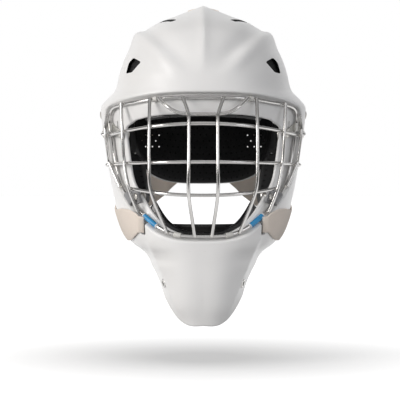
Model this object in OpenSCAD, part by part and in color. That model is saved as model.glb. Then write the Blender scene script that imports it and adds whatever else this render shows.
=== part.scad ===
// Hockey goalie mask: moulded shell, wire cage, foam liner, chin cup and elastic backplate harness.
// Millimetres. +Z is up, the face looks along -Y and the wearer's right side is -X.
// The origin lies on the midplane at eye height, in the middle of the head.

/* [Shell] */
// Width of the shell across the temples
shell_w = 236; // [226:1:248]
// Reach of the brow in front of the middle of the head
shell_front = 131; // [124:1:138]
// Height of the crown above the eyes
crown_h = 154.5; // [148:0.5:162]
// Depth of the chin tip under the eyes
chin_drop = 205; // [196:1:214]
// Thickness of the moulded wall
wall = 4; // [3:0.1:5]
// Depth of the step that the cage lies in
recess = 8; // [7:0.1:10]
// Extra depth of the inner edge of the face opening
flange_fall = 4; // [2:0.1:6]
// Height of the keel on the forehead
keel_h = 4; // [0:0.1:6]
// Height of the diagonal shoulder ridges
shoulder_h = 2.2; // [0:0.1:3.5]
// Height of the side creases on the chin
chin_crease_h = 2; // [0:0.1:3]

/* [Cage] */
// Diameter of the cage wire
wire_d = 3.8; // [3.2:0.1:4.2]
// Reach of the cage in front of its own rim at mid height
cage_bulge = 20; // [12:1:26]
// Depth that crossing wires melt into each other at a weld
weld_sink = 0.3; // [0.1:0.05:0.5]

/* [Cage clips] */
// Length of a clip along the rim wire
clip_l = 16; // [12:1:20]
// Width of the clip foot beside the wire
clip_foot = 13; // [12:0.5:15]
// Thickness of the clip foot
clip_t = 2.4; // [1.8:0.1:3]
// Shank diameter of the clip screws
screw_d = 4; // [3:0.1:5]
// Head diameter of the clip screws
screw_head_d = 8; // [6.5:0.1:9]
// Head height of the clip screws
screw_head_h = 2.2; // [1.5:0.1:3]
// Flange diameter of the nuts behind the shell
nut_d = 11; // [9:0.5:13]
// Flange thickness of the nuts behind the shell
nut_t = 1.4; // [1:0.1:2]

/* [Liner] */
// Thickness of the forehead and crown foam
foam_top = 15; // [10:1:18]
// Thickness of the temple and jaw foam
foam_side = 20; // [14:1:23]
// Thickness of the sweatband
band_t = 5; // [3:0.5:7]
// Thickness of the pad behind the chin
chin_pad_t = 8; // [5:0.5:10]

/* [Chin cup] */
// Radius of the cup outside
cup_r = 50; // [46:1:54]
// Thickness of the cup
cup_t = 6; // [4:0.5:8]
// Width of the cup webbing
cup_web_w = 19; // [14:1:22]
// Thickness of the cup webbing
cup_web_t = 2; // [1.5:0.1:2.6]
// Diameter of the snap posts
snap_d = 6; // [5:0.1:7]
// Diameter of the snap heads
snap_head_d = 12; // [10:0.5:14]

/* [Backplate] */
// Distance of the backplate's side edges in from the shell's widest sides
plate_inset = 26; // [24:0.5:30]
// Height of the backplate
plate_h = 178; // [166:1:186]
// Wall of the backplate
plate_t = 3.2; // [2.5:0.1:4]
// Thickness of the backplate foam
plate_foam = 12; // [8:1:15]
// Diameter of the air holes in the backplate
air_hole_d = 3.4; // [2.5:0.1:4.5]

/* [Harness] */
// Width of the elastic straps
strap_w = 38; // [32:1:40]
// Width of the jaw strap where it enters its slot
strap_nose_w = 19; // [16:1:24]
// Thickness of the elastic straps
strap_t = 2; // [1.4:0.1:2.4]
// Diameter of the rivet heads on the straps
rivet_head_d = 9; // [7:0.5:11]
// Shank diameter of the rivets
rivet_d = 4; // [3:0.1:5]
// Thickness of the keeper loop on the crown strap
keeper_t = 1.8; // [1.4:0.1:2.4]
// Length of the keeper loop along the crown strap
keeper_l = 14; // [10:1:18]

/* [Throat guard] */
// Bore of the lace eyelets
eyelet_bore_d = 5; // [4:0.1:6]
// Length of the eyelet barrel
eyelet_l = 8; // [7.5:0.1:9]

/* [Hidden] */

shell_colour = "white";
steel_colour = "silver";
foam_colour = "dimgray";
strap_colour = "antiquewhite";

// Gap between pieces that lie on each other, and the gap that moving faces keep
gap = 0.3;
run_gap = 0.05;
// Centre that the skin is measured from
hub = [0, 0, -20];
wire_r = wire_d / 2;
layer = wire_d - weld_sink;
// Height of the rim wire over the floor of the recess, and the depth of its centre under the skin
rim_lift = 1;
rim_depth = recess - wire_r - rim_lift;

// Skin stations from chin to crown: height, half width, reach to the front, reach to the back,
// and the squareness of the level section. Heights and sizes are those of the nominal mask.
NOMINAL = [118, 131.5, 154.5, 205];
STATIONS = [
    [-235, 30, 92, 70, 2.9], [-205, 39, 104, 86, 2.9], [-187, 44.5, 112, 92, 2.9],
    [-174, 48.5, 116, 97, 2.9], [-160, 51, 119.5, 102, 2.9], [-149, 55, 121.5, 106, 2.85],
    [-138, 60.5, 123, 111, 2.8], [-130, 63.8, 124.5, 114, 2.7], [-123, 70, 125.5, 117, 2.65],
    [-116, 80, 126.3, 120, 2.6], [-109, 86.5, 127, 123, 2.55], [-100, 92, 127.8, 127, 2.5],
    [-82, 98.5, 129, 132, 2.45], [-60, 103.5, 130.3, 137, 2.4], [-34, 108.5, 131.2, 141, 2.4],
    [-5, 113, 131.5, 143, 2.4], [20, 116.6, 131.5, 144, 2.4], [34, 118, 131.2, 144, 2.4],
    [42, 117.3, 130.8, 143.5, 2.4], [50, 111, 130, 143, 2.4], [58, 103, 128.8, 142, 2.4],
    [66, 99.6, 127, 140.5, 2.4], [78, 97, 123.5, 138, 2.4], [94, 92, 116.5, 133, 2.35],
    [108, 85.7, 108.5, 126.5, 2.3], [118, 81.5, 99.5, 119, 2.25], [125, 75.5, 91.5, 112, 2.2],
    [130, 69, 84, 105, 2.15], [135, 61.5, 75.5, 97, 2.1], [140, 48.5, 64.5, 86, 2.05],
    [145, 34.5, 51.5, 72, 2], [150, 21, 36, 53, 2], [153, 10, 20, 30, 2], [154.5, 1.5, 6, 9, 2]
];
LAST = len(STATIONS) - 1;

// Half loops from the top centre round the wearer's left side to the bottom centre: the inner
// edge of the face opening, the lip of the recess, and the free edge at the back of the shell.
INNER = [
    [0, -118, 26], [22, -117, 25.5], [45, -112, 24.5], [67, -101, 21.5], [81, -90, 17.5],
    [85.5, -84, 8], [83, -84, -8], [80.5, -84, -25], [78, -84, -42], [72, -90, -58],
    [62, -98, -73], [47, -106, -86.5], [30, -112, -93.5], [15, -114.5, -96], [0, -115, -96.5]
];
LIP = [
    [0, -130, 54], [27, -128, 54], [53, -120, 53], [80, -101, 49], [102, -74, 43],
    [111.5, -55, 31], [110, -52, 8], [106.5, -52, -18], [100, -58, -43], [87, -80, -66],
    [70, -99, -85], [50, -112, -98], [32, -120, -105], [16, -125, -108], [0, -126, -108.5]
];
BACK = [
    [0, 45, 154], [34, 46, 145], [66, 48, 131], [84, 54, 110], [93, 62, 82],
    [102, 70, 48], [107, 74, 12], [106, 72, -26], [101, 64, -62], [94, 46, -94],
    [80, 6, -118], [60, -36, -141], [44, -70, -170], [28, -92, -194.5], [0, -103, -203]
];
HALF = len(LIP) - 1;

function clamp(v, low, high) = max(low, min(high, v));
function unit(v) = v / norm(v);
function mixed(a, b, t) = a + (b - a) * t;
function mirrored(p) = [-p[0], p[1], p[2]];
function ease(t) = let (c = clamp(t, 0, 1)) c * c * (3 - 2 * c);
function bell(d, w) = exp(-d * d / (w * w));

// Nominal height of a real height, and the real size of a nominal length
function to_nominal(z) = z > 0 ? z * NOMINAL[2] / crown_h : z * NOMINAL[3] / chin_drop;
function from_nominal(p) = [
    p[0] * shell_w / 2 / NOMINAL[0],
    p[1] < 0 ? p[1] * shell_front / NOMINAL[1] : p[1],
    p[2] > 0 ? p[2] * crown_h / NOMINAL[2] : p[2] * chin_drop / NOMINAL[3]
];

// Value of one station column at a nominal height, smooth through the stations
INDEX = [for (i = [0:LAST]) [STATIONS[i][0], i]];
function slope(i, c) =
    let (a = STATIONS[max(i - 1, 0)], b = STATIONS[min(i + 1, LAST)]) (b[c] - a[c]) / (b[0] - a[0]);
function station(i, z, c) =
    let (
        a = STATIONS[i],
        b = STATIONS[i + 1],
        h = b[0] - a[0],
        s = (z - a[0]) / h,
        s2 = s * s,
        s3 = s2 * s
    )
    (2 * s3 - 3 * s2 + 1) * a[c] + (s3 - 2 * s2 + s) * h * slope(i, c)
    + (3 * s2 - 2 * s3) * b[c] + (s3 - s2) * h * slope(i + 1, c);

// Below zero inside the skin and above zero outside it
function skin_level(p) =
    let (z = to_nominal(p[2]))
    z >= NOMINAL[2] ? 1 + z - NOMINAL[2] :
    let (
        i = clamp(floor(lookup(z, INDEX)), 0, LAST - 1),
        a = station(i, z, 1) * shell_w / 2 / NOMINAL[0],
        b = p[1] < 0 ? station(i, z, 2) * shell_front / NOMINAL[1] : station(i, z, 3),
        n = station(i, z, 4)
    )
    pow(abs(p[0]) / a, n) + pow(abs(p[1]) / b, n) - 1;
function skin_reach(d, low = 30, high = 300, steps = 16) =
    steps == 0 ? (low + high) / 2 :
    let (m = (low + high) / 2)
    skin_level(hub + d * m) < 0 ? skin_reach(d, m, high, steps - 1) : skin_reach(d, low, m, steps - 1);
function skin_normal(p) =
    let (e = 0.4)
    unit([
        skin_level(p + [e, 0, 0]) - skin_level(p - [e, 0, 0]),
        skin_level(p + [0, e, 0]) - skin_level(p - [0, e, 0]),
        skin_level(p + [0, 0, e]) - skin_level(p - [0, 0, e])
    ]);

// Moulded forms on the outside: keel, shoulder ridges with the valleys above them, chin creases
shoulder_top = [72, 129];
shoulder_end = [18, 78];
chin_crease_top = [63, -100];
chin_crease_end = [29, -181];
function across(q, a, b) = let (d = unit(b - a)) (q[0] - a[0]) * -d[1] + (q[1] - a[1]) * d[0];
function along(q, a, b) = let (d = b - a) ((q - a) * d) / (d * d);
function relief(p) =
    p[1] > 20 ? 0 :
    let (
        q = [abs(p[0]), to_nominal(p[2])],
        s = across(q, shoulder_top, shoulder_end),
        v = along(q, shoulder_top, shoulder_end),
        c = across(q, chin_crease_top, chin_crease_end),
        w = along(q, chin_crease_top, chin_crease_end),
        front = ease((20 - p[1]) / 40)
    )
    front * (
        keel_h * bell(q[0], 11) * ease((q[1] - 70) / 35)
        + shoulder_h * (bell(s - 7, 9) - bell(s + 8, 11)) * ease((1.15 - v) / 0.6) * ease((v + 0.5) / 0.5)
        + chin_crease_h * bell(c, 6) * ease((w + 0.1) / 0.25) * ease((1.25 - w) / 0.25)
    );

// Point on the skin in a direction from the hub, sunk by a depth along the normal
function sunk(d, depth, form = 0) =
    let (p = hub + d * skin_reach(d), n = skin_normal(p)) p - n * (depth - form * relief(p));
function toward(p) = unit(p - hub);
function skin_point(p) = hub + toward(p) * skin_reach(toward(p));
function turned(a, b, t) =
    let (w = acos(clamp(a * b, -1, 1))) (a * sin(w * (1 - t)) + b * sin(w * t)) / sin(w);

// Smooth curve through points, and a mirrored half loop at a place from 0 to 2 * HALF
function curve_at(a, b, c, d, s) =
    0.5 * (2 * b + (c - a) * s + (2 * a - 5 * b + 4 * c - d) * s * s + (3 * b - a - 3 * c + d) * s * s * s);
function knot(loop, i) =
    i < 0 ? mirrored(loop[-i]) : i > HALF ? mirrored(loop[2 * HALF - i]) : loop[i];
function half_at(loop, s) =
    let (i = min(floor(s), HALF - 1))
    curve_at(knot(loop, i - 1), knot(loop, i), knot(loop, i + 1), knot(loop, i + 2), s - i);
function loop_at(loop, s) =
    from_nominal(
        s < 0 ? mirrored(half_at(loop, -s))
        : s > HALF ? mirrored(half_at(loop, 2 * HALF - s))
        : half_at(loop, s)
    );
// Direction at place s round the mask: t is -1 at the inner edge, 0 at the lip, 1 at the free edge
function way(s, t) =
    t < 0 ? turned(toward(loop_at(LIP, s)), toward(loop_at(INNER, s)), -t)
    : turned(toward(loop_at(LIP, s)), toward(loop_at(BACK, s)), t);
function flange_depth(t) = recess - flange_fall * min(t, 0);
// Depth of the shell's inner face
inside_start = 0.07;
function inside_depth(t) =
    wall + (t >= inside_start ? 0 : t > 0 ? recess * (1 - t / inside_start) : flange_depth(t));
function at(s, t, depth) = sunk(way(s, t), depth);

// Solid through sections of equal point counts: outer points first, then inner ones back again
function side_faces(n, m, wrap) = [
    for (i = [0:n - (wrap ? 1 : 2)], j = [0:m - 1])
        let (a = i * m, b = ((i + 1) % n) * m, k = (j + 1) % m)
        each [[a + j, b + j, b + k], [a + j, b + k, a + k]]
];
function cap_faces(first, m, flip) = [
    for (j = [0:m / 2 - 2])
        let (a = first + j, b = first + j + 1, c = first + m - 2 - j, d = first + m - 1 - j)
        each flip ? [[a, c, b], [a, d, c]] : [[a, b, c], [a, c, d]]
];
module skinned(sections, wrap = false, flip = false) {
    n = len(sections);
    m = len(sections[0]);
    raw = concat(
        side_faces(n, m, wrap),
        wrap ? [] : cap_faces(0, m, false),
        wrap ? [] : cap_faces((n - 1) * m, m, true)
    );
    faces = flip ? [for (f = raw) [f[2], f[1], f[0]]] : raw;
    polyhedron(points = [for (s = sections) each s], faces = faces, convexity = 8);
}

// Round wire along points; side gives a vector that is never along the wire
function wire_section(p, tangent, side, r, n) =
    let (u = unit(cross(tangent, side)), v = cross(u, tangent))
    [for (k = [0:n - 1]) let (a = 360 * (k + 0.5) / n) p + r * (cos(a) * u + sin(a) * v)];
module wire(points, side, r = wire_r, n = 8) {
    last = len(points) - 1;
    skinned([
        for (i = [0:last])
            wire_section(points[i], unit(points[min(i + 1, last)] - points[max(i - 1, 0)]), side, r, n)
    ], flip = true);
}
function smooth(knots, n) =
    let (last = len(knots) - 1)
    [
        for (i = [0:last - 1], k = [0:n - 1])
            curve_at(
                i == 0 ? 2 * knots[0] - knots[1] : knots[i - 1], knots[i], knots[i + 1],
                i + 2 > last ? 2 * knots[last] - knots[last - 1] : knots[i + 2], k / n
            ),
        knots[last]
    ];

// Frame on a surface: moves its children so that +Z is the normal and +X the given heading
module placed(origin, normal, heading) {
    z = unit(normal);
    y = unit(cross(z, heading));
    x = cross(y, z);
    multmatrix([
        [x[0], y[0], z[0], origin[0]], [x[1], y[1], z[1], origin[1]], [x[2], y[2], z[2], origin[2]],
        [0, 0, 0, 1]
    ])
        children();
}
function normal_at(s, t) = let (d = way(s, t)) skin_normal(hub + d * skin_reach(d));

// Facets of the shell: columns round the mask and rows from the lip to the free edge
places = 64;
column = 2 * HALF / places;
outer_rows = [0, 0.05, 0.12, 0.21, 0.3, 0.4, 0.48, 0.52, 0.6, 0.7, 0.8, 0.92, 1];
// Pad on the inside of the shell from one column to another over a list of rows, crowned
// towards the head. It shares the shell's columns and rows, so that the two lie together.
module pad(from, to, rows, thick) {
    last = len(rows) - 1;
    skinned([
        for (i = [from:to])
            let (s = i * column, side = 1 - pow(abs(2 * (i - from) / (to - from) - 1), 4))
            concat(
                [for (j = [last:-1:0]) at(s, rows[j], inside_depth(rows[j]) + gap)],
                [
                    for (t = rows)
                        let (
                            end = 1 - pow(abs(2 * (t - rows[0]) / (rows[last] - rows[0]) - 1), 4),
                            crown = 0.55 + 0.45 * sqrt(side * end)
                        )
                        at(s, t, inside_depth(t) + gap + thick * crown)
                ]
            )
    ]);
}

module mirror_if(flag) {
    if (flag) mirror([1, 0, 0]) children();
    else children();
}

// Moulded shell
module shell_body() {
    skinned([
        for (i = [0:places - 1])
            let (s = 2 * HALF * i / places)
            concat(
                [for (t = [-1, -0.5, -0.02]) at(s, t, flange_depth(t))],
                [for (t = outer_rows) sunk(way(s, t), 0, 1)],
                [for (k = [len(outer_rows) - 1:-1:1]) at(s, outer_rows[k], inside_depth(outer_rows[k]))],
                [for (t = [0, -0.5, -1]) at(s, t, inside_depth(t))]
            )
    ], wrap = true, flip = true);
}
// Openings of one side in the front view and the top view
SIDE_VENT = [[-78.3, 94.6], [-69.3, 89], [-79.8, 77.6], [-86.8, 77], [-83.8, 89]];
TOP_VENT = [[-30, -58], [-36, -60], [-51, -35], [-44, -31]];
module vents() {
    translate([0, -45, 0]) rotate([90, 0, 0]) linear_extrude(75) polygon(SIDE_VENT);
    translate([0, 0, 110]) linear_extrude(55) polygon(TOP_VENT);
}
// Slot in the side wall of the recess beside each upper clip
slot_l = 13;
slot_w = 3;
slot_place = [5.35, -0.42];
module flange_slot() {
    p = at(slot_place[0], slot_place[1], flange_depth(slot_place[1]));
    placed(p, normal_at(slot_place[0], slot_place[1]), [0, 0, 1])
        translate([-slot_l / 2, -slot_w / 2, -wall * 2]) cube([slot_l, slot_w, wall * 4]);
}
module mask_shell() {
    color(shell_colour)
        difference() {
            shell_body();
            for (m = [false, true]) {
                mirror_if(m) {
                    vents();
                    flange_slot();
                    jaw_slot();
                    for (c = [UPPER_CLIP, LOWER_CLIP]) clip_hole(c);
                    snap_hole();
                    eyelet_hole();
                    rivet_holes_in_shell();
                }
            }
        }
}

// Cage. The rim wire lies in the recess, the level wires cross it, the upright wires lie on top.
rim_inset = 4.8;
function rim_row(s) = -rim_inset / norm(skin_point(loop_at(LIP, s)) - skin_point(loop_at(INNER, s)));
function rim_point(s) = at(s, rim_row(s), rim_depth);
function rim_normal(s) = normal_at(s, rim_row(s));
function on_rim(s, layers) = rim_point(s) + rim_normal(s) * layer * layers;
module cage_rim_wire() {
    n = 56;
    pts = [for (i = [0:n - 1]) rim_point(2 * HALF * i / n)];
    color(steel_colour)
        skinned([
            for (i = [0:n - 1])
                let (
                    tangent = unit(pts[(i + 1) % n] - pts[(i + n - 1) % n]),
                    side = rim_normal(2 * HALF * i / n)
                )
                wire_section(pts[i], tangent, side, wire_r, 8)
        ], wrap = true, flip = true);
}

// The cage keeps its share of the shell's width
widen = shell_w / 2 / NOMINAL[0];
// Level wires from the top: height at the middle, rise towards the sides, half width of that rise,
// and whether the wire runs on over the side of the shell
LEVELS = [
    [19.5, -13, 113 * widen, true], [-22.3, -2.5, 110 * widen, true], [-58.8, 6.8, 79 * widen, false]
];
level_side_x = 104 * widen;
// Upright wires of one side: distance from the midplane at the top, at each level and at the bottom
UPRIGHTS = widen * [
    [22.1, 15.5, 15.5, 15.5, 9.1], [57.2, 57.1, 56.8, 54.6, 38.6], [88.9, 87, 84.6, 79.2, 70]
];
corner_x = 106.5 * widen;
brow_row = 0.65;
// Knots of the brow wire: distance from the midplane and height
BROW = [for (b = [[48, 0], [39.2, 38.1], [29.2, 32.2], [18.4, 30.3], [0, 30]]) [b[0] * widen, b[1]]];

// Place on the top or bottom run of the rim wire at a distance from the midplane
function top_place(x, low = 0, high = 4.9, n = 9) =
    n == 0 ? (low + high) / 2 :
    let (m = (low + high) / 2)
    rim_point(m)[0] < x ? top_place(x, m, high, n - 1) : top_place(x, low, m, n - 1);
function bottom_place(x, low = 8.6, high = HALF, n = 9) =
    n == 0 ? (low + high) / 2 :
    let (m = (low + high) / 2)
    rim_point(m)[0] > x ? bottom_place(x, m, high, n - 1) : bottom_place(x, low, m, n - 1);
// Place on the side run at a height
function side_place(z, low = 5, high = 9, n = 9) =
    n == 0 ? (low + high) / 2 :
    let (m = (low + high) / 2)
    rim_point(m)[2] > z ? side_place(z, m, high, n - 1) : side_place(z, low, m, n - 1);

rim_top = rim_point(0);
rim_bottom = rim_point(HALF);
function level_z(k, x) = LEVELS[k][0] + LEVELS[k][1] * pow(x / LEVELS[k][2], 2);
function cage_front(z) =
    let (q = (z - rim_bottom[2]) / (rim_top[2] - rim_bottom[2]))
    layer - mixed(rim_bottom[1], rim_top[1], q) + cage_bulge * (1 - pow(2 * q - 1, 2));
// Point of a level wire at x; side is where it crosses the rim wire
function level_point(k, x, side) =
    let (z = level_z(k, x), f = cage_front(z))
    [x, -f + (f + side[1]) * pow(abs(x) / side[0], 3), z];
function level_normal(k, x, side) =
    let (d = level_point(k, x + 1, side) - level_point(k, x - 1, side)) unit([d[1], -d[0], 0]);
LEVEL_SIDE = [for (k = [0:2]) let (s = side_place(level_z(k, level_side_x))) on_rim(s, 1)];
function level_half(k) =
    let (
        side = LEVEL_SIDE[k],
        s = side_place(level_z(k, level_side_x)),
        reach = LEVELS[k][3] ? side[0] * 0.9 : UPRIGHTS[2][3] + wire_r
    )
    concat(
        [for (x = [reach / 6:reach / 6:reach * 1.01]) level_point(k, x, side)],
        LEVELS[k][3] ? [side, at(s, 0.015, -wire_r - 1.6), at(s, 0.09, -wire_r - gap - 0.5)] : []
    );
module cage_horizontal_wires() {
    color(steel_colour)
        for (k = [0:2]) {
            half = level_half(k);
            last = len(half) - 1;
            knots = concat(
                [for (i = [last:-1:0]) mirrored(half[i])],
                [level_point(k, 0, LEVEL_SIDE[k])],
                half
            );
            wire(smooth(knots, 2), [0, 0, 1]);
        }
}
function crossing(k, x) =
    level_point(k, x, LEVEL_SIDE[k]) + layer * level_normal(k, x, LEVEL_SIDE[k]);
function brow_y(x) =
    mixed(rim_point(top_place(x))[1], level_point(0, x, LEVEL_SIDE[0])[1], brow_row);
module cage_brow_wire() {
    half = concat(
        [on_rim(top_place(BROW[0][0]), 1)],
        [for (i = [1:3]) [BROW[i][0], brow_y(BROW[i][0]), BROW[i][1]]]
    );
    knots = concat(half, [[0, brow_y(0), BROW[4][1]]], [for (i = [3:-1:0]) mirrored(half[i])]);
    color(steel_colour) wire(smooth(knots, 3), [0, 0, 1]);
}
function upright(w) = [
    on_rim(top_place(w[0]), 1),
    if (w[0] < BROW[0][0]) [BROW[3][0] - 2, brow_y(BROW[3][0]) - layer, BROW[3][1] + 0.5],
    crossing(0, w[1]), crossing(1, w[2]), crossing(2, w[3]),
    on_rim(bottom_place(w[4]), 1)
];
corner_wire = [
    on_rim(top_place(corner_x), 1), on_rim(5.55, 1.75), on_rim(side_place(level_z(0, level_side_x)), 2),
    on_rim(7, 2.1), on_rim(side_place(level_z(1, level_side_x)), 2), on_rim(8.3, 1)
];
module cage_vertical_wires() {
    color(steel_colour)
        for (m = [false, true], k = [0:3])
            mirror_if(m) wire(smooth(k < 3 ? upright(UPRIGHTS[k]) : corner_wire, 3), [1, 0, 0]);
}

// Sleeves that carry the rim wire on the floor of the recess: place and length
SLEEVES = [[2.08, 4.6], [12.2, 8]];
function rim_heading(s) = unit(rim_point(s + 0.1) - rim_point(s - 0.1));
module cage_rim_sleeves() {
    color(shell_colour)
        for (m = [false, true], v = SLEEVES)
            mirror_if(m)
                on_rim_wire(v[0])
                    rotate([0, 90, 0])
                        difference() {
                            cylinder(r = wire_r + rim_lift - run_gap, h = v[1], center = true, $fn = 40);
                            cylinder(r = wire_r + 0.15, h = v[1] + 2, center = true, $fn = 40);
                        }
}

// Cage clips: place round the rim, length, thickness, and row of the screw
clip_play = 0.25;
// Flat clips stand this much over the curved floor of the recess
clip_lift = 3 * gap;
UPPER_CLIP = [5.58, 9, 2, -0.62];
LOWER_CLIP = [8.95, clip_l, clip_t, -0.72];
function clip_seat(c) = at(c[0], c[3], flange_depth(c[3]));
function clip_normal(c) = normal_at(c[0], c[3]);
module on_clip_seat(c) {
    placed(clip_seat(c), clip_normal(c), cross(rim_point(c[0]) - clip_seat(c), clip_normal(c))) children();
}
module on_rim_wire(s) {
    placed(rim_point(s), rim_normal(s), rim_heading(s)) children();
}
module clip(c) {
    s = c[0];
    run = norm(rim_point(s) - clip_seat(c));
    half = clip_foot / 2;
    corner = 2;
    difference() {
        union() {
            on_clip_seat(c)
                translate([0, 0, clip_lift])
                    linear_extrude(c[2]) {
                        translate([-c[1] / 2, corner - half]) square([c[1], run + half - corner]);
                        translate([corner - c[1] / 2, -half]) square([c[1] - 2 * corner, half]);
                        for (x = [-1, 1])
                            translate([x * (c[1] / 2 - corner), corner - half]) circle(r = corner, $fn = 32);
                    }
            on_rim_wire(s)
                rotate([0, 90, 0]) cylinder(r = wire_r + c[2], h = c[1], center = true, $fn = 48);
        }
        on_rim_wire(s) {
            rotate([0, 90, 0]) cylinder(r = wire_r + clip_play, h = c[1] + 8, center = true, $fn = 48);
            translate([0, 0, -wire_r - rim_lift - 5 + gap])
                cube([c[1] + 4, 2 * (wire_r + c[2]) + 2, 10], center = true);
            translate([-20, wire_r + clip_play + 0.9, -20]) cube([40, 20, 40]);
        }
        on_clip_seat(c) cylinder(r = screw_d / 2 + 0.2, h = 30, center = true, $fn = 32);
        on_clip_seat(c)
            translate([0, 0, clip_lift + c[2]]) cylinder(r = screw_head_d / 2 + 0.4, h = 12, $fn = 40);
    }
}

module upper_cage_clip(flag) {
    color("silver") mirror_if(flag) clip(UPPER_CLIP);
}
module lower_cage_clip(flag) {
    color("gainsboro") mirror_if(flag) clip(LOWER_CLIP);
}
// The nut's barrel fills the hole in the shell and holds the screw's thread; its flat flange
// clears the curved inside of the shell
nut_play = 2 * gap;
barrel_r = screw_d / 2 + 1.3;
module clip_hole(c) {
    on_clip_seat(c) cylinder(r = barrel_r, h = 4 * wall, center = true, $fn = 40);
}
module cage_clip_screws() {
    color(steel_colour)
        for (m = [false, true], c = [UPPER_CLIP, LOWER_CLIP])
            mirror_if(m)
                on_clip_seat(c)
                    translate([0, 0, clip_lift + c[2]])
                        rotate_extrude($fn = 40)
                            polygon([
                                [0, -wall - c[2]], [screw_d / 2, -wall - c[2]], [screw_d / 2, 0],
                                [screw_head_d / 2, 0], [screw_head_d / 2, screw_head_h * 0.4],
                                [screw_head_d * 0.3, screw_head_h], [0, screw_head_h]
                            ]);
}
module cage_clip_nuts() {
    color(steel_colour)
        for (m = [false, true], c = [UPPER_CLIP, LOWER_CLIP])
            mirror_if(m)
                on_clip_seat(c)
                    difference() {
                        union() {
                            translate([0, 0, -wall - nut_play - nut_t])
                                cylinder(r = nut_d / 2, h = nut_t, $fn = 40);
                            translate([0, 0, -wall - nut_play - 0.1])
                                cylinder(r = barrel_r - run_gap, h = wall, $fn = 40);
                        }
                        cylinder(r = screw_d / 2 - 0.1, h = 6 * wall, center = true, $fn = 40);
                    }
}

// Liner
module forehead_foam() {
    color(foam_colour) pad(-7, 7, [0.12, 0.21, 0.3, 0.4, 0.48], foam_top);
}
module crown_foam() {
    color(foam_colour) pad(-7, 7, [0.52, 0.6, 0.7, 0.8, 0.92], foam_top);
}
side_rows = [0.12, 0.21, 0.3, 0.4, 0.48, 0.52, 0.6, 0.7, 0.8, 0.92];
module side_foam(from, to, flag) {
    color(foam_colour) pad(flag ? places - to : from, flag ? places - from : to, side_rows, foam_side);
}
module temple_foam(flag) {
    side_foam(8, 15, flag);
}
module jaw_foam(flag) {
    side_foam(16, 20, flag);
}
module sweatband() {
    color(foam_colour) pad(-7, 7, [-1.13, -1, -0.75, -0.5, -0.25], band_t);
}
module chin_pad() {
    color(foam_colour) pad(23, 41, [-1.6, -1.3, -1, -0.5, 0, 0.05, 0.12, 0.21, 0.3, 0.4], chin_pad_t);
}
// Blue tabs on the lower flange: thickness, and the part of the rim and of the flange they cover
tab_t = 0.5;
tab_along = [10.62, 11.45];
tab_across = [-0.85, -0.42];
module flange_tab(flag) {
    color("deepskyblue")
        mirror_if(flag)
            skinned([
                for (i = [0:4])
                    let (s = mixed(tab_along[0], tab_along[1], i / 4))
                    concat(
                        [
                            for (j = [0:3])
                                let (t = mixed(tab_across[0], tab_across[1], j / 3))
                                at(s, t, flange_depth(t) - gap)
                        ],
                        [
                            for (j = [3:-1:0])
                                let (t = mixed(tab_across[0], tab_across[1], j / 3))
                                at(s, t, flange_depth(t) - gap - tab_t)
                        ]
                    )
            ]);
}

// Chin cup on its webbing, which swings about the snap posts
snap_y = -40;
snap_z = -88;
cup_centre = [0, -50, -72];
cup_top = -91;
cup_bottom = -118;
function side_x(y, z) =
    let (
        n0 = to_nominal(z),
        i = clamp(floor(lookup(n0, INDEX)), 0, LAST - 1),
        b = y < 0 ? station(i, n0, 2) * shell_front / NOMINAL[1] : station(i, n0, 3),
        n = station(i, n0, 4)
    )
    station(i, n0, 1) * shell_w / 2 / NOMINAL[0] * pow(1 - pow(abs(y) / b, n), 1 / n);
function back_point(x, z) =
    let (
        n0 = to_nominal(z),
        i = clamp(floor(lookup(n0, INDEX)), 0, LAST - 1),
        a = station(i, n0, 1) * shell_w / 2 / NOMINAL[0],
        n = station(i, n0, 4)
    )
    [x, station(i, n0, 3) * pow(max(1 - pow(abs(x) / a, n), 0), 1 / n), z];
snap_out = side_x(snap_y, snap_z);
snap_in = snap_out - wall - 1.5;
web_x = snap_in - 10;
module from_snap(x) {
    translate([x, snap_y, snap_z]) rotate([0, 90, 0]) children();
}
module snap_hole() {
    from_snap(snap_out - 15) cylinder(r = snap_d / 2, h = 40, $fn = 40);
}
module chin_snap_posts() {
    color(steel_colour)
        for (m = [false, true])
            mirror_if(m) {
                from_snap(web_x - gap)
                    cylinder(r = snap_d / 2 - run_gap, h = snap_out - web_x - 1.2, $fn = 40);
                from_snap(web_x - gap - 2) cylinder(r = snap_head_d / 2, h = 2, $fn = 40);
                from_snap(web_x + cup_web_t + gap)
                    cylinder(r = snap_d / 2 + 1.5, h = snap_in - web_x - cup_web_t - gap, $fn = 40);
            }
}
// The web leaves the snap flat against it and then slants in to the side of the cup
web_flat = 11;
web_foot = [39, -66, -101];
web_turn = atan2(snap_z - web_foot[2], snap_y - web_foot[1]);
web_run = norm([snap_y - web_foot[1], snap_z - web_foot[2]]) - web_flat;
web_lean = atan2(web_x - web_foot[0], web_run);
module chin_web(flag) {
    slant = norm([web_run, web_x - web_foot[0]]);
    color("dimgray")
        mirror_if(flag)
            difference() {
                union() {
                    from_snap(web_x) cylinder(r = cup_web_w / 2, h = cup_web_t, $fn = 48);
                    translate([web_x, snap_y, snap_z]) rotate([web_turn, 0, 0]) {
                        translate([0, -web_flat, -cup_web_w / 2]) cube([cup_web_t, web_flat, cup_web_w]);
                        translate([0, -web_flat, -cup_web_w / 2])
                            rotate([0, 0, -web_lean])
                                translate([0, -slant, 0]) cube([cup_web_t, slant + 0.4, cup_web_w]);
                    }
                }
                from_snap(web_x - 5) cylinder(r = snap_d / 2, h = 20, $fn = 40);
            }
}
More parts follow.
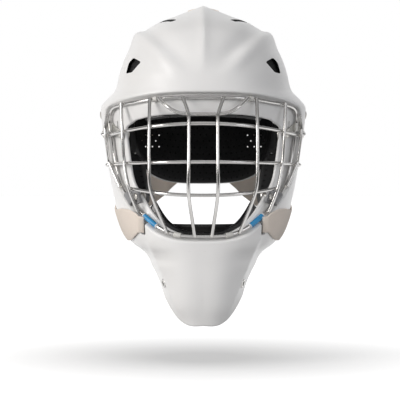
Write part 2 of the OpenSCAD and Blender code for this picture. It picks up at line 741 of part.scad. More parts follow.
module chin_cup() {
    half_w = 44;
    cup_back = -60;
    far = 200;
    color("dimgray")
        difference() {
            translate(cup_centre) sphere(r = cup_r, $fn = 64);
            translate(cup_centre) sphere(r = cup_r - cup_t, $fn = 64);
            translate([-far / 2, -far, cup_top]) cube([far, 2 * far, far]);
            translate([-far / 2, -far, cup_bottom - far]) cube([far, 2 * far, far]);
            translate([-far / 2, cup_back, -far]) cube(far);
            for (m = [0, 1])
                mirror([m, 0, 0]) translate([half_w, -far, -far]) cube([far / 2, 2 * far, 2 * far]);
        }
}

// Lace eyelets for a throat guard
EYELET = [12, 0.72];
eyelet_r = eyelet_bore_d / 2;
eyelet_way = way(EYELET[0], EYELET[1]);
eyelet_middle = mixed(sunk(eyelet_way, 0, 1), sunk(eyelet_way, wall), 0.5);
module on_eyelet() {
    placed(eyelet_middle, normal_at(EYELET[0], EYELET[1]), [0, 0, 1]) children();
}
module eyelet_hole() {
    on_eyelet() cylinder(r = eyelet_r + 0.9, h = 20, center = true, $fn = 48);
}
module throat_guard_eyelets() {
    h = eyelet_l / 2;
    color(steel_colour)
        for (m = [false, true])
            mirror_if(m)
                on_eyelet()
                    rotate_extrude($fn = 48)
                        polygon([
                            [eyelet_r, -h], [eyelet_r + 2.6, -h], [eyelet_r + 2.6, -h + 0.8],
                            [eyelet_r + 0.85, -h + 0.8], [eyelet_r + 0.85, h - 0.8],
                            [eyelet_r + 2.6, h - 0.8], [eyelet_r + 2.6, h], [eyelet_r, h]
                        ]);
}

// Backplate: a shaped plate on the skin behind the head, its top this far under the crown
plate_drop = 25.5;
plate_w = shell_w - 2 * plate_inset;
plate_top = crown_h - plate_drop;
plate_mid = plate_top - plate_h / 2;
plate_edge = 3.4;
plate_sink = 3;
function plate_point(u, v, w, h, depth) =
    let (
        x = w / 2 * u * 0.985,
        z = plate_mid + h / 2 * v * pow(1 - pow(abs(u) * 0.985, plate_edge), 1 / plate_edge)
    )
    sunk(toward(back_point(x, z)), depth);
plate_grid = [16, 14];
function plate_row(u, order, near, far, bulge) =
    let (n = plate_grid[1])
    [
        for (j = order)
            let (v = 2 * j / n - 1, crown = 1 - bulge + bulge * sqrt((1 - pow(u, 4)) * (1 - pow(v, 4))))
            plate_point(u, v, plate_w, plate_h, near + (far - near) * crown)
    ];
// Body between two depths; the far face is crowned. The lining lists its rows the other way,
// so that its facets lie along the plate's.
module plate_body(near, far, bulge = 0, lining = false) {
    n = plate_grid[1];
    up = [for (j = [0:n]) j];
    down = [for (j = [n:-1:0]) j];
    skinned([
        for (i = [0:plate_grid[0]])
            let (u = 2 * i / plate_grid[0] - 1)
            concat(
                plate_row(u, lining ? down : up, near, near, 0),
                plate_row(u, lining ? up : down, near, far, bulge)
            )
    ], flip = lining);
}
AIR_HOLES = [for (r = [0:2], k = [0:2]) [70 - 8 * k + (r % 2) * 4, -3 + 7 * r]];
module air_holes() {
    drill_from = 150;
    drill_l = 90;
    for (m = [0, 1], h = AIR_HOLES)
        mirror([m, 0, 0])
            translate([h[0], drill_from, h[1]])
                rotate([90, 0, 0]) cylinder(r = air_hole_d / 2, h = drill_l, $fn = 24);
}
module backplate_shell() {
    color(shell_colour)
        difference() {
            plate_body(plate_sink, plate_sink + plate_t);
            air_holes();
            rivet_holes_in_plate();
        }
}
module backplate_foam() {
    lining_top = plate_sink + plate_t + gap;
    color(foam_colour)
        difference() {
            plate_body(lining_top, lining_top + plate_foam, 0.5, true);
            air_holes();
        }
}

// Elastic straps: bands that lie on the shell, run free, and lie on the backplate.
// Each section is a row of points over the band's width, outer face first.
band_n = 4;
function band_on_skin(p, heading, w, low, thick) =
    let (across_dir = unit(cross(skin_normal(p), heading)), form = low > 0 ? 1 : 0)
    concat(
        [for (k = [0:band_n]) sunk(toward(p + across_dir * w * (k / band_n - 0.5)), -low - thick, form)],
        [for (k = [band_n:-1:0]) sunk(toward(p + across_dir * w * (k / band_n - 0.5)), -low, form)]
    );
// Band along points on the skin, with its width and its height over the skin at each of them
function band(points, widths, lows) =
    let (last = len(points) - 1, on = [for (p = points) skin_point(p)])
    [
        for (i = [0:last])
            band_on_skin(on[i], unit(on[min(i + 1, last)] - on[max(i - 1, 0)]), widths[i], lows[i], strap_t)
    ];
// Heights over the skin where a band lies on the shell, and where it lies on the sunk backplate
shell_low = gap + 0.3;
plate_low = gap + 0.2 - plate_sink;
// Routes of the straps on the skin: on the shell, then free, then on the backplate
JAW_ROUTE = [
    [67.5, -103, -93], [71, -99, -93], [75, -94, -93], [80, -85, -93], [86, -68, -92.5], [91, -48, -91.5],
    [94, -25, -90], [96, -2, -88.5], [97, 20, -86.5], [97, 38, -84.5], [95, 54, -81]
];
JAW_FREE = [[90, 76, -69], [79, 98, -53]];
JAW_PLATE = [
    for (f = [[0.37, 0.46], [0.32, 0.427], [0.266, 0.4]])
        back_point(plate_w * f[0], plate_mid - plate_h * f[1])
];
SIDE_ROUTE = [[114, 24, 22], [113, 38, 21.5], [110, 54, 20.5], [107, 72, 19.5]];
SIDE_FREE = [[99, 90, 18.5]];
SIDE_PLATE = [for (d = [4, 12, 21, 30]) back_point(plate_w / 2 - d, 18)];
CROWN_ROUTE = [[0, 6, 155], [0, 17, 154.7], [0, 28, 154.3], [0, 37, 153.8], [0, 45, 153]];
CROWN_PLATE = [for (d = [-gap, 6, 15, 25]) back_point(0, plate_top - d)];
function route_sections(route, free, plate, nose = false) =
    let (a = len(route), b = a + len(free), n = b + len(plate), all_points = concat(route, free, plate))
    band(
        all_points,
        [for (i = [0:n - 1]) nose ? mixed(strap_nose_w, strap_w, clamp((i - 1) / 3, 0, 1)) : strap_w - 2],
        [for (i = [0:n - 1]) nose && i == 0 ? -wall * 0.8 : i < a ? shell_low : i < b ? -0.5 : plate_low]
    );
module jaw_band() {
    color(strap_colour) skinned(route_sections(JAW_ROUTE, JAW_FREE, JAW_PLATE, true), flip = true);
}
module side_band() {
    color(strap_colour) skinned(route_sections(SIDE_ROUTE, SIDE_FREE, SIDE_PLATE), flip = true);
}
// The crown strap runs flat between the shell and the backplate, where its keeper slides
crown_from = skin_point(CROWN_ROUTE[4]);
crown_to = skin_point(CROWN_PLATE[0]);
crown_run = crown_to - crown_from;
crown_up = unit(cross([1, 0, 0], crown_run));
crown_sag = 2.5;
function crown_flat(t) =
    let (c = mixed(crown_from, crown_to, t) - crown_up * crown_sag, w = strap_w - 2)
    concat(
        [for (k = [0:band_n]) c + [w * (0.5 - k / band_n), 0, 0] + crown_up * strap_t / 2],
        [for (k = [band_n:-1:0]) c + [w * (0.5 - k / band_n), 0, 0] - crown_up * strap_t / 2]
    );
module crown_band() {
    n = len(CROWN_ROUTE) - 1;
    m = len(CROWN_PLATE) - 1;
    color(strap_colour)
        skinned(concat(
            band(CROWN_ROUTE, [for (i = [0:n]) strap_w - 2], [for (i = [0:n]) shell_low]),
            [crown_flat(0.22), crown_flat(0.78)],
            band(CROWN_PLATE, [for (i = [0:m]) strap_w - 2], [for (i = [0:m]) plate_low])
        ), flip = true);
}
module jaw_slot() {
    p = skin_point(JAW_ROUTE[0]);
    q = skin_point(JAW_ROUTE[1]);
    placed(p, skin_normal(p), q - p)
        translate([-strap_t - 1, -strap_nose_w / 2 - 1, -15]) cube([strap_t + 4.5, strap_nose_w + 2, 30]);
}

// Rivets through the straps: guide points on the skin of one side
SHELL_RIVETS = [[113.5, 31, 32], [113.5, 31, 11], [0, 14, 155]];
PLATE_RIVETS = [
    back_point(plate_w / 2 - 25, 28), back_point(plate_w / 2 - 25, 8), mixed(JAW_PLATE[1], JAW_PLATE[2], 0.5),
    back_point(0, plate_top - 20)
];
module on_rivet(p, sink) {
    q = skin_point(p);
    n = skin_normal(q);
    placed(q - n * sink, n, [0, 0, 1]) children();
}
module rivet(through) {
    top = strap_t + 3 * gap + 0.2;
    rotate_extrude($fn = 36)
        polygon([
            [0, -through], [rivet_d / 2, -through], [rivet_d / 2, top], [rivet_head_d / 2, top],
            [rivet_head_d / 2, top + 0.5], [rivet_head_d / 4, top + 1.5], [0, top + 1.6]
        ]);
}
module rivet_hole(play = 0) {
    cylinder(r = rivet_d / 2 + play, h = 30, center = true, $fn = 36);
}
module rivet_holes_in_shell() {
    for (p = SHELL_RIVETS) on_rivet(p, 0) rivet_hole();
}
module rivet_holes_in_plate() {
    for (m = [0, 1], p = PLATE_RIVETS)
        mirror([m, 0, 0]) on_rivet(p, plate_sink) rivet_hole();
}
module shell_strap_rivets() {
    color(steel_colour) {
        for (m = [false, true], k = [0, 1]) mirror_if(m) on_rivet(SHELL_RIVETS[k], 0) rivet(wall);
        on_rivet(SHELL_RIVETS[2], 0) rivet(wall);
    }
}
module plate_strap_rivets() {
    color(steel_colour) {
        for (m = [false, true], k = [0:2])
            mirror_if(m) on_rivet(PLATE_RIVETS[k], plate_sink) rivet(plate_t);
        on_rivet(PLATE_RIVETS[3], plate_sink) rivet(plate_t);
    }
}
module jaw_strap(flag) {
    mirror_if(flag)
        difference() {
            jaw_band();
            on_rivet(PLATE_RIVETS[2], plate_sink) rivet_hole(gap);
        }
}
module side_strap(flag) {
    mirror_if(flag)
        difference() {
            side_band();
            for (k = [0, 1]) {
                on_rivet(SHELL_RIVETS[k], 0) rivet_hole();
                on_rivet(PLATE_RIVETS[k], plate_sink) rivet_hole(gap);
            }
        }
}
module crown_strap() {
    difference() {
        crown_band();
        on_rivet(SHELL_RIVETS[2], 0) rivet_hole();
        on_rivet(PLATE_RIVETS[3], plate_sink) rivet_hole(gap);
    }
}
// Keeper loop round the flat stretch of the crown strap
module crown_strap_keeper() {
    inner_h = strap_t + 1;
    color("dimgray")
        placed(mixed(crown_from, crown_to, 0.5) - crown_up * crown_sag, crown_up, crown_run)
            difference() {
                cube([keeper_l, strap_w + 2 * keeper_t, inner_h + 2 * keeper_t], center = true);
                cube([keeper_l + 2, strap_w, inner_h], center = true);
            }
}

mask_shell();
cage_rim_wire();
cage_brow_wire();
cage_horizontal_wires();
cage_vertical_wires();
cage_rim_sleeves();
upper_cage_clip(false);  // upper_cage_clip_left
upper_cage_clip(true);  // upper_cage_clip_right
lower_cage_clip(false);  // lower_cage_clip_left
lower_cage_clip(true);  // lower_cage_clip_right
cage_clip_screws();
cage_clip_nuts();
forehead_foam();
crown_foam();
temple_foam(false);  // temple_foam_left
temple_foam(true);  // temple_foam_right
jaw_foam(false);  // jaw_foam_left
jaw_foam(true);  // jaw_foam_right
sweatband();
chin_pad();
flange_tab(false);  // flange_tab_left
flange_tab(true);  // flange_tab_right
chin_snap_posts();
chin_cup();
chin_web(false);  // chin_web_left
chin_web(true);  // chin_web_right
throat_guard_eyelets();
jaw_strap(false);  // jaw_strap_left
jaw_strap(true);  // jaw_strap_right
side_strap(false);  // side_strap_left
side_strap(true);  // side_strap_right
crown_strap();
shell_strap_rivets();
plate_strap_rivets();
backplate_shell();
backplate_foam();
crown_strap_keeper();
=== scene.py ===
"""Looks of a goalie mask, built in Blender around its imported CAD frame."""

import math

import bmesh
import bpy
import numpy as np
from mathutils import Matrix, Vector


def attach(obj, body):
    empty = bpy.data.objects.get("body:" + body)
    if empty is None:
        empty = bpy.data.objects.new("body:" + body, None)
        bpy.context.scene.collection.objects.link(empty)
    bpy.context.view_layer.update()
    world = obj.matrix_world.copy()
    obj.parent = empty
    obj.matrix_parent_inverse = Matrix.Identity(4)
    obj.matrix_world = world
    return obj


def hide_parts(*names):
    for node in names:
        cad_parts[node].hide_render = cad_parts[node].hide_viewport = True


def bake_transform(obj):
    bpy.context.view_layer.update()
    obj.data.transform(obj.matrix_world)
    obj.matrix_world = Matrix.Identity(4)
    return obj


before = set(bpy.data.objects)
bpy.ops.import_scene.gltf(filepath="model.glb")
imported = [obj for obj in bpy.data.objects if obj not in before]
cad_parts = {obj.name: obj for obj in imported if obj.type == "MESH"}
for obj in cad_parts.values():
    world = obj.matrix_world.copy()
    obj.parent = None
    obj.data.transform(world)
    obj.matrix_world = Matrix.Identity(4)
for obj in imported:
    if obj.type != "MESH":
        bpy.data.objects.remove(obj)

bl_info = {
    "name": "Goalie Mask Looks",
    "version": (1, 0, 0),
    "blender": (4, 5, 0),
    "location": "View3D > Sidebar > Goalie Mask",
    "description": "Builds the shell, cage, liner, straps and stage of a goalie mask",
    "category": "Object",
}

MM = 0.001
MIRROR = np.array([-1, 1, 1])

# Skin of the mask, in mm, as in the solid shell

# Directions are taken from this point inside the mask
HUB = np.array([0.0, 0.0, -20.0])
# Level sections of the skin: height, half width, reach to the front, reach to the rear, squareness
STATIONS = np.array([
    [-235, 30, 92, 70, 2.9], [-205, 39, 104, 86, 2.9], [-187, 44.5, 112, 92, 2.9],
    [-174, 48.5, 116, 97, 2.9], [-160, 51, 119.5, 102, 2.9], [-149, 55, 121.5, 106, 2.85],
    [-138, 60.5, 123, 111, 2.8], [-130, 63.8, 124.5, 114, 2.7], [-123, 70, 125.5, 117, 2.65],
    [-116, 80, 126.3, 120, 2.6], [-109, 86.5, 127, 123, 2.55], [-100, 92, 127.8, 127, 2.5],
    [-82, 98.5, 129, 132, 2.45], [-60, 103.5, 130.3, 137, 2.4], [-34, 108.5, 131.2, 141, 2.4],
    [-5, 113, 131.5, 143, 2.4], [20, 116.6, 131.5, 144, 2.4], [34, 118, 131.2, 144, 2.4],
    [42, 117.3, 130.8, 143.5, 2.4], [50, 111, 130, 143, 2.4], [58, 103, 128.8, 142, 2.4],
    [66, 99.6, 127, 140.5, 2.4], [78, 97, 123.5, 138, 2.4], [94, 92, 116.5, 133, 2.35],
    [108, 85.7, 108.5, 126.5, 2.3], [118, 81.5, 99.5, 119, 2.25], [125, 75.5, 91.5, 112, 2.2],
    [130, 69, 84, 105, 2.15], [135, 61.5, 75.5, 97, 2.1], [140, 48.5, 64.5, 86, 2.05],
    [145, 34.5, 51.5, 72, 2], [150, 21, 36, 53, 2], [153, 10, 20, 30, 2], [154.5, 1.5, 6, 9, 2],
])
SKIN_TOP = 154.5
# The stations and loops were first set for a front that reached 131.5 mm
FRONT_SCALE = 131 / 131.5
STATIONS[:, 2] *= FRONT_SCALE
# Half loops from the top middle to the bottom middle: inner edge, cage lip and back edge
INNER = np.array([
    [0, -118, 26], [22, -117, 25.5], [45, -112, 24.5], [67, -101, 21.5], [81, -90, 17.5],
    [85.5, -84, 8], [83, -84, -8], [80.5, -84, -25], [78, -84, -42], [72, -90, -58],
    [62, -98, -73], [47, -106, -86.5], [30, -112, -93.5], [15, -114.5, -96], [0, -115, -96.5],
], float)
LIP = np.array([
    [0, -130, 54], [27, -128, 54], [53, -120, 53], [80, -101, 49], [102, -74, 43],
    [111.5, -55, 31], [110, -52, 8], [106.5, -52, -18], [100, -58, -43], [87, -80, -66],
    [70, -99, -85], [50, -112, -98], [32, -120, -105], [16, -125, -108], [0, -126, -108.5],
], float)
BACK = np.array([
    [0, 45, 154], [34, 46, 145], [66, 48, 131], [84, 54, 110], [93, 62, 82],
    [102, 70, 48], [107, 74, 12], [106, 72, -26], [101, 64, -62], [94, 46, -94],
    [80, 6, -118], [60, -36, -141], [44, -70, -170], [28, -92, -194.5], [0, -103, -203],
], float)
# Steps of a half loop; places s run from 0 at the top middle to 2 * HALF round the mask
HALF = 14
WALL = 4.0
# Depth of the cage flange under the skin, and how much deeper it gets at its inner edge
RECESS = 8.0
FLANGE_SLOPE = 4.0
# Share of the way from lip to back edge over which the inside steps up to the flange
STEP_END = 0.07
WIRE_R = 1.9
# Distance between the middles of two wires that are welded on each other
LAYER = 3.5
# Gap between pieces that are seated on each other
GAP = 0.3


def unit(v):
    v = np.asarray(v, float)
    return v / np.linalg.norm(v, axis=-1, keepdims=True)


def ease(t):
    c = np.clip(t, 0, 1)
    return c * c * (3 - 2 * c)


def bell(d, w):
    return np.exp(-(d * d) / (w * w))


def stations_at(z, columns):
    """Station columns at heights z, smooth through the stations."""
    zs = STATIONS[:, 0]
    last = len(zs) - 1
    i = np.clip(np.searchsorted(zs, z, side="right") - 1, 0, last - 1)
    h = zs[i + 1] - zs[i]
    s = (z - zs[i]) / h
    s2, s3 = s * s, s * s * s
    out = []
    for c in columns:
        v = STATIONS[:, c]
        lo, hi = np.maximum(np.arange(last + 1) - 1, 0), np.minimum(np.arange(last + 1) + 1, last)
        slope = (v[hi] - v[lo]) / (zs[hi] - zs[lo])
        out.append((2 * s3 - 3 * s2 + 1) * v[i] + (s3 - 2 * s2 + s) * h * slope[i]
                   + (3 * s2 - 2 * s3) * v[i + 1] + (s3 - s2) * h * slope[i + 1])
    return out


def skin_level(p):
    """Below 0 inside the skin and above 0 outside it."""
    z = p[..., 2]
    half, front, rear, n = stations_at(np.minimum(z, SKIN_TOP - 0.01), (1, 2, 3, 4))
    reach = np.where(p[..., 1] < 0, front, rear)
    inside = (np.abs(p[..., 0]) / half) ** n + (np.abs(p[..., 1]) / reach) ** n - 1
    return np.where(z >= SKIN_TOP, 1 + z - SKIN_TOP, inside)


def skin_reach(d):
    """Distance from the hub to the skin in directions d, found by halving."""
    low = np.full(d.shape[:-1], 30.0)
    high = np.full(d.shape[:-1], 300.0)
    for _ in range(20):
        m = (low + high) / 2
        inside = skin_level(HUB + d * m[..., None]) < 0
        low, high = np.where(inside, m, low), np.where(inside, high, m)
    return (low + high) / 2


def skin_normal(p):
    probe = 0.6
    axes = np.eye(3) * probe
    return unit(np.stack([skin_level(p + a) - skin_level(p - a) for a in axes], -1))


def relief(p):
    """Moulded forms on the outside: keel, shoulder ridges and valleys, chin creases."""
    def across(a, b):
        d = unit(np.subtract(b, a))
        return (q0 - a[0]) * -d[1] + (q1 - a[1]) * d[0]

    def along(a, b):
        d = np.subtract(b, a).astype(float)
        return ((q0 - a[0]) * d[0] + (q1 - a[1]) * d[1]) / (d @ d)

    keel_height, keel_width, ridge_height, crease_height = 4, 7, 3, 2.4
    q0, q1 = np.abs(p[..., 0]), p[..., 2]
    # Ends of each line as (x, z) in the front view
    shoulder, chin = ((72, 129), (18, 78)), ((63, -100), (29, -181))
    s, v = across(*shoulder), along(*shoulder)
    c, w = across(*chin), along(*chin)
    front = ease((20 - p[..., 1]) / 40)
    keel = np.exp((2 - np.hypot(q0, 2)) / keel_width) * ease((q1 - 70) / 35)
    ridge = (bell(s - 6, 8) - bell(s + 7, 10)) * ease((1.15 - v) / 0.6) * ease((v + 0.5) / 0.5)
    crease = np.where(c < 0, np.exp(np.minimum(c, 0) / 18), bell(c, 4))
    crease = crease * ease((w + 0.1) / 0.25) * ease((1.25 - w) / 0.25)
    return front * (keel_height * keel + ridge_height * ridge + crease_height * crease)


def sunk(d, depth, form=0.0):
    """Points on the skin in directions d from the hub, sunk by a depth along the normal."""
    p = HUB + d * skin_reach(d)[..., None]
    n = skin_normal(p)
    drop = np.asarray(depth, float) - form * relief(p)
    return p - n * (drop[..., None] if np.ndim(drop) else drop)


def toward(p):
    return unit(np.asarray(p, float) - HUB)


def skin_point(p):
    d = toward(p)
    return HUB + d * skin_reach(d)[..., None]


def curve_at(a, b, c, d, s):
    """Point at share s of the way from b to c, on the smooth curve through a, b, c and d."""
    bend, twist = 2 * a - 5 * b + 4 * c - d, 3 * b - a - 3 * c + d
    return 0.5 * (2 * b + (c - a) * s + bend * s * s + twist * s ** 3)


def along_knots(knots, ts):
    """Smooth curve through knots, read at places ts counted in knots."""
    knots = np.asarray(knots, float)
    ext = np.concatenate([[2 * knots[0] - knots[1]], knots, [2 * knots[-1] - knots[-2]]])
    i = np.clip(np.floor(ts).astype(int), 0, len(knots) - 2)
    f = (ts - i).reshape(-1, *[1] * (knots.ndim - 1))
    return curve_at(ext[i], ext[i + 1], ext[i + 2], ext[i + 3], f)


def smooth_curve(knots):
    per_knot = 8
    return along_knots(knots, np.arange((len(knots) - 1) * per_knot + 1) / per_knot)


def loop_at(loop, s):
    """Points of a mirrored half loop at places s from 0 to 2 * HALF."""
    s = np.asarray(s, float)
    flip = np.where((s < 0) | (s > HALF), -1.0, 1.0)
    s = np.where(s > HALF, 2 * HALF - s, np.abs(s))
    i = np.minimum(np.floor(s).astype(int), HALF - 1)
    knots = np.concatenate([loop[1:2] * MIRROR, loop, loop[-2:-1] * MIRROR])
    f = (s - i)[..., None]
    p = curve_at(knots[i], knots[i + 1], knots[i + 2], knots[i + 3], f)
    p[..., 0] *= flip
    p[..., 1] = np.where(p[..., 1] < 0, p[..., 1] * FRONT_SCALE, p[..., 1])
    return p


def turned(a, b, t):
    """Direction at share t of the turn from a to b."""
    w = np.arccos(np.clip((a * b).sum(-1), -1, 1))
    return (a * np.sin(w * (1 - t))[..., None] + b * np.sin(w * t)[..., None]) / np.sin(w)[..., None]


def way(s, t):
    """Direction at place s round the mask: t is -1 at the inner edge, 0 at the lip, 1 at the back."""
    s, t = np.broadcast_arrays(np.asarray(s, float), np.asarray(t, float))
    lip = toward(loop_at(LIP, s))
    return np.where((t < 0)[..., None], turned(lip, toward(loop_at(INNER, s)), -t),
                    turned(lip, toward(loop_at(BACK, s)), t))


def flange_depth(t):
    return RECESS - FLANGE_SLOPE * np.minimum(t, 0)


def inside_depth(t):
    t = np.asarray(t, float)
    step = np.where(t > 0, RECESS * (1 - t / STEP_END), flange_depth(t))
    return WALL + np.where(t >= STEP_END, 0, step)


def at(s, t, depth):
    return sunk(way(s, t), depth)


def lengths(s):
    """Length in mm of the flange and of the outer shell at places s."""
    steps = np.linspace(0, 1, 9)
    s = np.asarray(s, float)[:, None]
    out = at(s, steps[None], 0 * s)
    flange = at(s, -steps[None], 0 * s)
    return (np.linalg.norm(np.diff(flange, axis=1), axis=2).sum(1),
            np.linalg.norm(np.diff(out, axis=1), axis=2).sum(1))


# Mesh helpers

def finish_piece(name, bm, material, body, replaces=(), angle=None):
    """Makes a bmesh in mm an object in metres that rides on a body."""
    bmesh.ops.scale(bm, vec=(MM,) * 3, verts=bm.verts)
    bmesh.ops.recalc_face_normals(bm, faces=bm.faces)
    mesh = bpy.data.meshes.new(name)
    bm.to_mesh(mesh)
    bm.free()
    mesh.shade_smooth()
    if angle:
        mesh.set_sharp_from_angle(angle=math.radians(angle))
    o = bpy.data.objects.new(name, mesh)
    bpy.context.scene.collection.objects.link(o)
    mesh.materials.append(material)
    if body:
        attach(o, body)
    if replaces:
        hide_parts(*replaces)
    return o


def mapped_grid(bm, us, vs, place, uv=None):
    """Adds a grid whose point (i, j) is moved to place(i, j), and has a UV map if uv is given."""
    made = bmesh.ops.create_grid(bm, x_segments=len(us) - 1, y_segments=len(vs) - 1, size=1)["verts"]
    co = np.array([v.co for v in made])
    i = np.rint((co[:, 0] + 1) / 2 * (len(us) - 1)).astype(int)
    j = np.rint((co[:, 1] + 1) / 2 * (len(vs) - 1)).astype(int)
    for v, p in zip(made, place(i, j)):
        v.co = p
    if uv is not None:
        layer = bm.loops.layers.uv.verify()
        for v, corner in zip(made, uv[i, j]):
            for loop in v.link_loops:
                loop[layer].uv = corner


def spread(low, high, n, edge, fine):
    """Even values from low to high, with some extra ones in a margin at both ends."""
    inner = np.linspace(low + edge, high - edge, n)
    near = edge * (1 - np.cos(np.linspace(0, math.pi / 2, fine + 1)[:-1]))
    return np.concatenate([low + near, inner, (high - near)[::-1]])


def rounding(inset, radius):
    """Height, from 0 to 1, of a round edge of that radius at a distance inset from the rim."""
    return np.sqrt(1 - (1 - np.clip(inset / radius, 0, 1)) ** 2)


def pillow(bm, us, vs, front, back, size, radius):
    """Closed body between two surfaces of (u, v) that meet round its edge, which is rounded off.

    size is the body's width and length in mm, and radius the rounding of its edge.
    """
    us, vs = np.asarray(us, float), np.asarray(vs, float)
    gu, gv = np.meshgrid(us, vs, indexing="ij")
    shape = gu.shape
    f = front(gu.ravel(), gv.ravel()).reshape(*shape, 3)
    b = back(gu.ravel(), gv.ravel()).reshape(*shape, 3)
    x = (gu - us[0]) / (us[-1] - us[0]) * size[0]
    y = (gv - vs[0]) / (vs[-1] - vs[0]) * size[1]
    lift = rounding(np.minimum(x, size[0] - x), radius) * rounding(np.minimum(y, size[1] - y), radius)
    middle = (f + b) / 2
    f = middle + (f - middle) * lift[..., None]
    b = middle + (b - middle) * lift[..., None]
    uv = np.stack([x, y], -1)
    mapped_grid(bm, us, vs, lambda i, j: f[i, j], uv)
    mapped_grid(bm, us, vs, lambda i, j: b[i, j], uv)
    bmesh.ops.remove_doubles(bm, verts=bm.verts, dist=0.002)


def lathe(bm, profile, place):
    """Spins a profile of (radius, height) pairs about Z and moves it by the matrix place."""
    first = [bm.verts.new((r, 0, h)) for r, h in profile]
    edges = [bm.edges.new(pair) for pair in zip(first, first[1:])]
    bmesh.ops.spin(bm, geom=first + edges, axis=(0, 0, 1), cent=(0, 0, 0), steps=40,
                   angle=2 * math.pi, use_merge=True)
    # The spin's own vertices are found by walking along the edges from the profile
    verts, seen = list(first), set(first)
    for v in verts:
        for near in (w for e in v.link_edges for w in e.verts if w not in seen):
            seen.add(near)
            verts.append(near)
    bmesh.ops.remove_doubles(bm, verts=verts, dist=0.001)
    bmesh.ops.transform(bm, matrix=place, verts=[v for v in verts if v.is_valid])


def surface_frame(origin, normal, heading):
    """Matrix that puts +Z on the normal and +X along the heading."""
    z = unit(normal)
    y = unit(np.cross(z, heading))
    x = np.cross(y, z)
    m = np.eye(4)
    m[:3, 0], m[:3, 1], m[:3, 2], m[:3, 3] = x, y, z, origin
    return Matrix(m.tolist())


def wires_mesh(bm, runs, radius, closed):
    """Adds round wires along lists of points, as bevelled curves made into meshes."""
    for points in runs:
        curve = bpy.data.curves.new("wire_run", "CURVE")
        curve.dimensions = "3D"
        curve.bevel_depth = radius
        curve.bevel_resolution = 6
        curve.use_fill_caps = True
        line = curve.splines.new("POLY")
        line.points.add(len(points) - 1)
        line.points.foreach_set("co", np.concatenate([points, np.ones((len(points), 1))], 1).ravel())
        line.use_cyclic_u = closed
        o = bpy.data.objects.new("wire_run", curve)
        bpy.context.scene.collection.objects.link(o)
        bpy.context.view_layer.update()
        mesh = bpy.data.meshes.new_from_object(o.evaluated_get(bpy.context.evaluated_depsgraph_get()))
        bm.from_mesh(mesh)
        bpy.data.objects.remove(o)
        bpy.data.meshes.remove(mesh)
    bmesh.ops.remove_doubles(bm, verts=bm.verts, dist=0.0005)


def both_sides(points):
    points = np.asarray(points, float)
    return [points, points * MIRROR]


# Node materials

GROUPS = {}


class Nodes:
    """Adds and links shader nodes in a material or a node group."""

    def __init__(self, tree):
        self.tree = tree

    def put(self, socket, value):
        if isinstance(value, bpy.types.NodeSocket):
            self.tree.links.new(value, socket)
        else:
            socket.default_value = value

    def add(self, kind, inputs=None, **settings):
        node = self.tree.nodes.new(kind if kind.startswith("Node") else "ShaderNode" + kind)
        for key, value in settings.items():
            setattr(node, key, value)
        for key, value in (inputs or {}).items():
            self.put(node.inputs[key], value)
        return node

    def math(self, operation, a, b=0.0):
        node = self.add("Math", operation=operation)
        self.put(node.inputs[0], a)
        self.put(node.inputs[1], b)
        return node.outputs[0]

    def ramp(self, value, low, high, to_low=0.0, to_high=1.0):
        return self.add("MapRange", {"Value": value, "From Min": low, "From Max": high,
                                     "To Min": to_low, "To Max": to_high}).outputs[0]

    def mix(self, factor, a, b):
        node = self.add("Mix", data_type="RGBA")
        for index, value in ((0, factor), (6, a), (7, b)):
            self.put(node.inputs[index], value)
        return node.outputs[2]

    def coords(self, output="Object"):
        return self.add("TexCoord").outputs[output]

    def noise(self, vector, scale, detail=3.0, rough=0.5):
        inputs = {"Vector": vector, "Scale": scale, "Detail": detail, "Roughness": rough}
        return self.add("TexNoise", inputs).outputs[0]

    def bump(self, height, strength, distance, normal=None):
        inputs = {"Height": height, "Strength": strength, "Distance": distance}
        if normal is not None:
            inputs["Normal"] = normal
        return self.add("Bump", inputs).outputs[0]

    def group(self, make, inputs):
        """Places the node group that the function make builds, once for all materials."""
        if make.__name__ not in GROUPS:
            GROUPS[make.__name__] = make()
        return self.add("Group", inputs, node_tree=GROUPS[make.__name__]).outputs

    def grain(self, colour, shade, cloud_scale, grain_scale, grain):
        inputs = {"Vector": self.coords(), "Colour": (*colour, 1), "Shade": shade,
                  "Cloud Scale": cloud_scale, "Grain Scale": grain_scale, "Grain": grain}
        return self.group(surface_grain, inputs)


def new_group(name, inputs, outputs):
    """A node group with named sockets; returns its tree, a Nodes on it, and its input sockets."""
    tree = bpy.data.node_groups.new(name, "ShaderNodeTree")
    for socket, kind, value in inputs:
        made = tree.interface.new_socket(socket, in_out="INPUT", socket_type="NodeSocket" + kind)
        if value is not None:
            made.default_value = value
    for socket, kind in outputs:
        tree.interface.new_socket(socket, in_out="OUTPUT", socket_type="NodeSocket" + kind)
    n = Nodes(tree)
    given = n.add("NodeGroupInput").outputs
    result = n.add("NodeGroupOutput").inputs
    return tree, n, given, result


def surface_grain():
    """Mottled colour and fine surface unevenness, for moulded and metal surfaces."""
    tree, n, given, result = new_group(
        "surface_grain",
        [("Vector", "Vector", None), ("Colour", "Color", (0.8, 0.8, 0.8, 1)), ("Shade", "Float", 0.08),
         ("Cloud Scale", "Float", 12.0), ("Grain Scale", "Float", 700.0), ("Grain", "Float", 0.3)],
        [("Colour", "Color"), ("Cloud", "Float"), ("Height", "Float")],
    )
    cloud = n.noise(given["Vector"], given["Cloud Scale"], 4.0)
    fine = n.noise(given["Vector"], given["Grain Scale"], 2.0)
    mottle = n.math("MULTIPLY", n.ramp(cloud, 0.3, 0.72), given["Shade"])
    n.put(result["Colour"], n.mix(mottle, given["Colour"], (0.0, 0.0, 0.0, 1)))
    n.put(result["Cloud"], cloud)
    n.put(result["Height"], n.math("ADD", cloud, n.math("MULTIPLY", fine, given["Grain"])))
    return tree


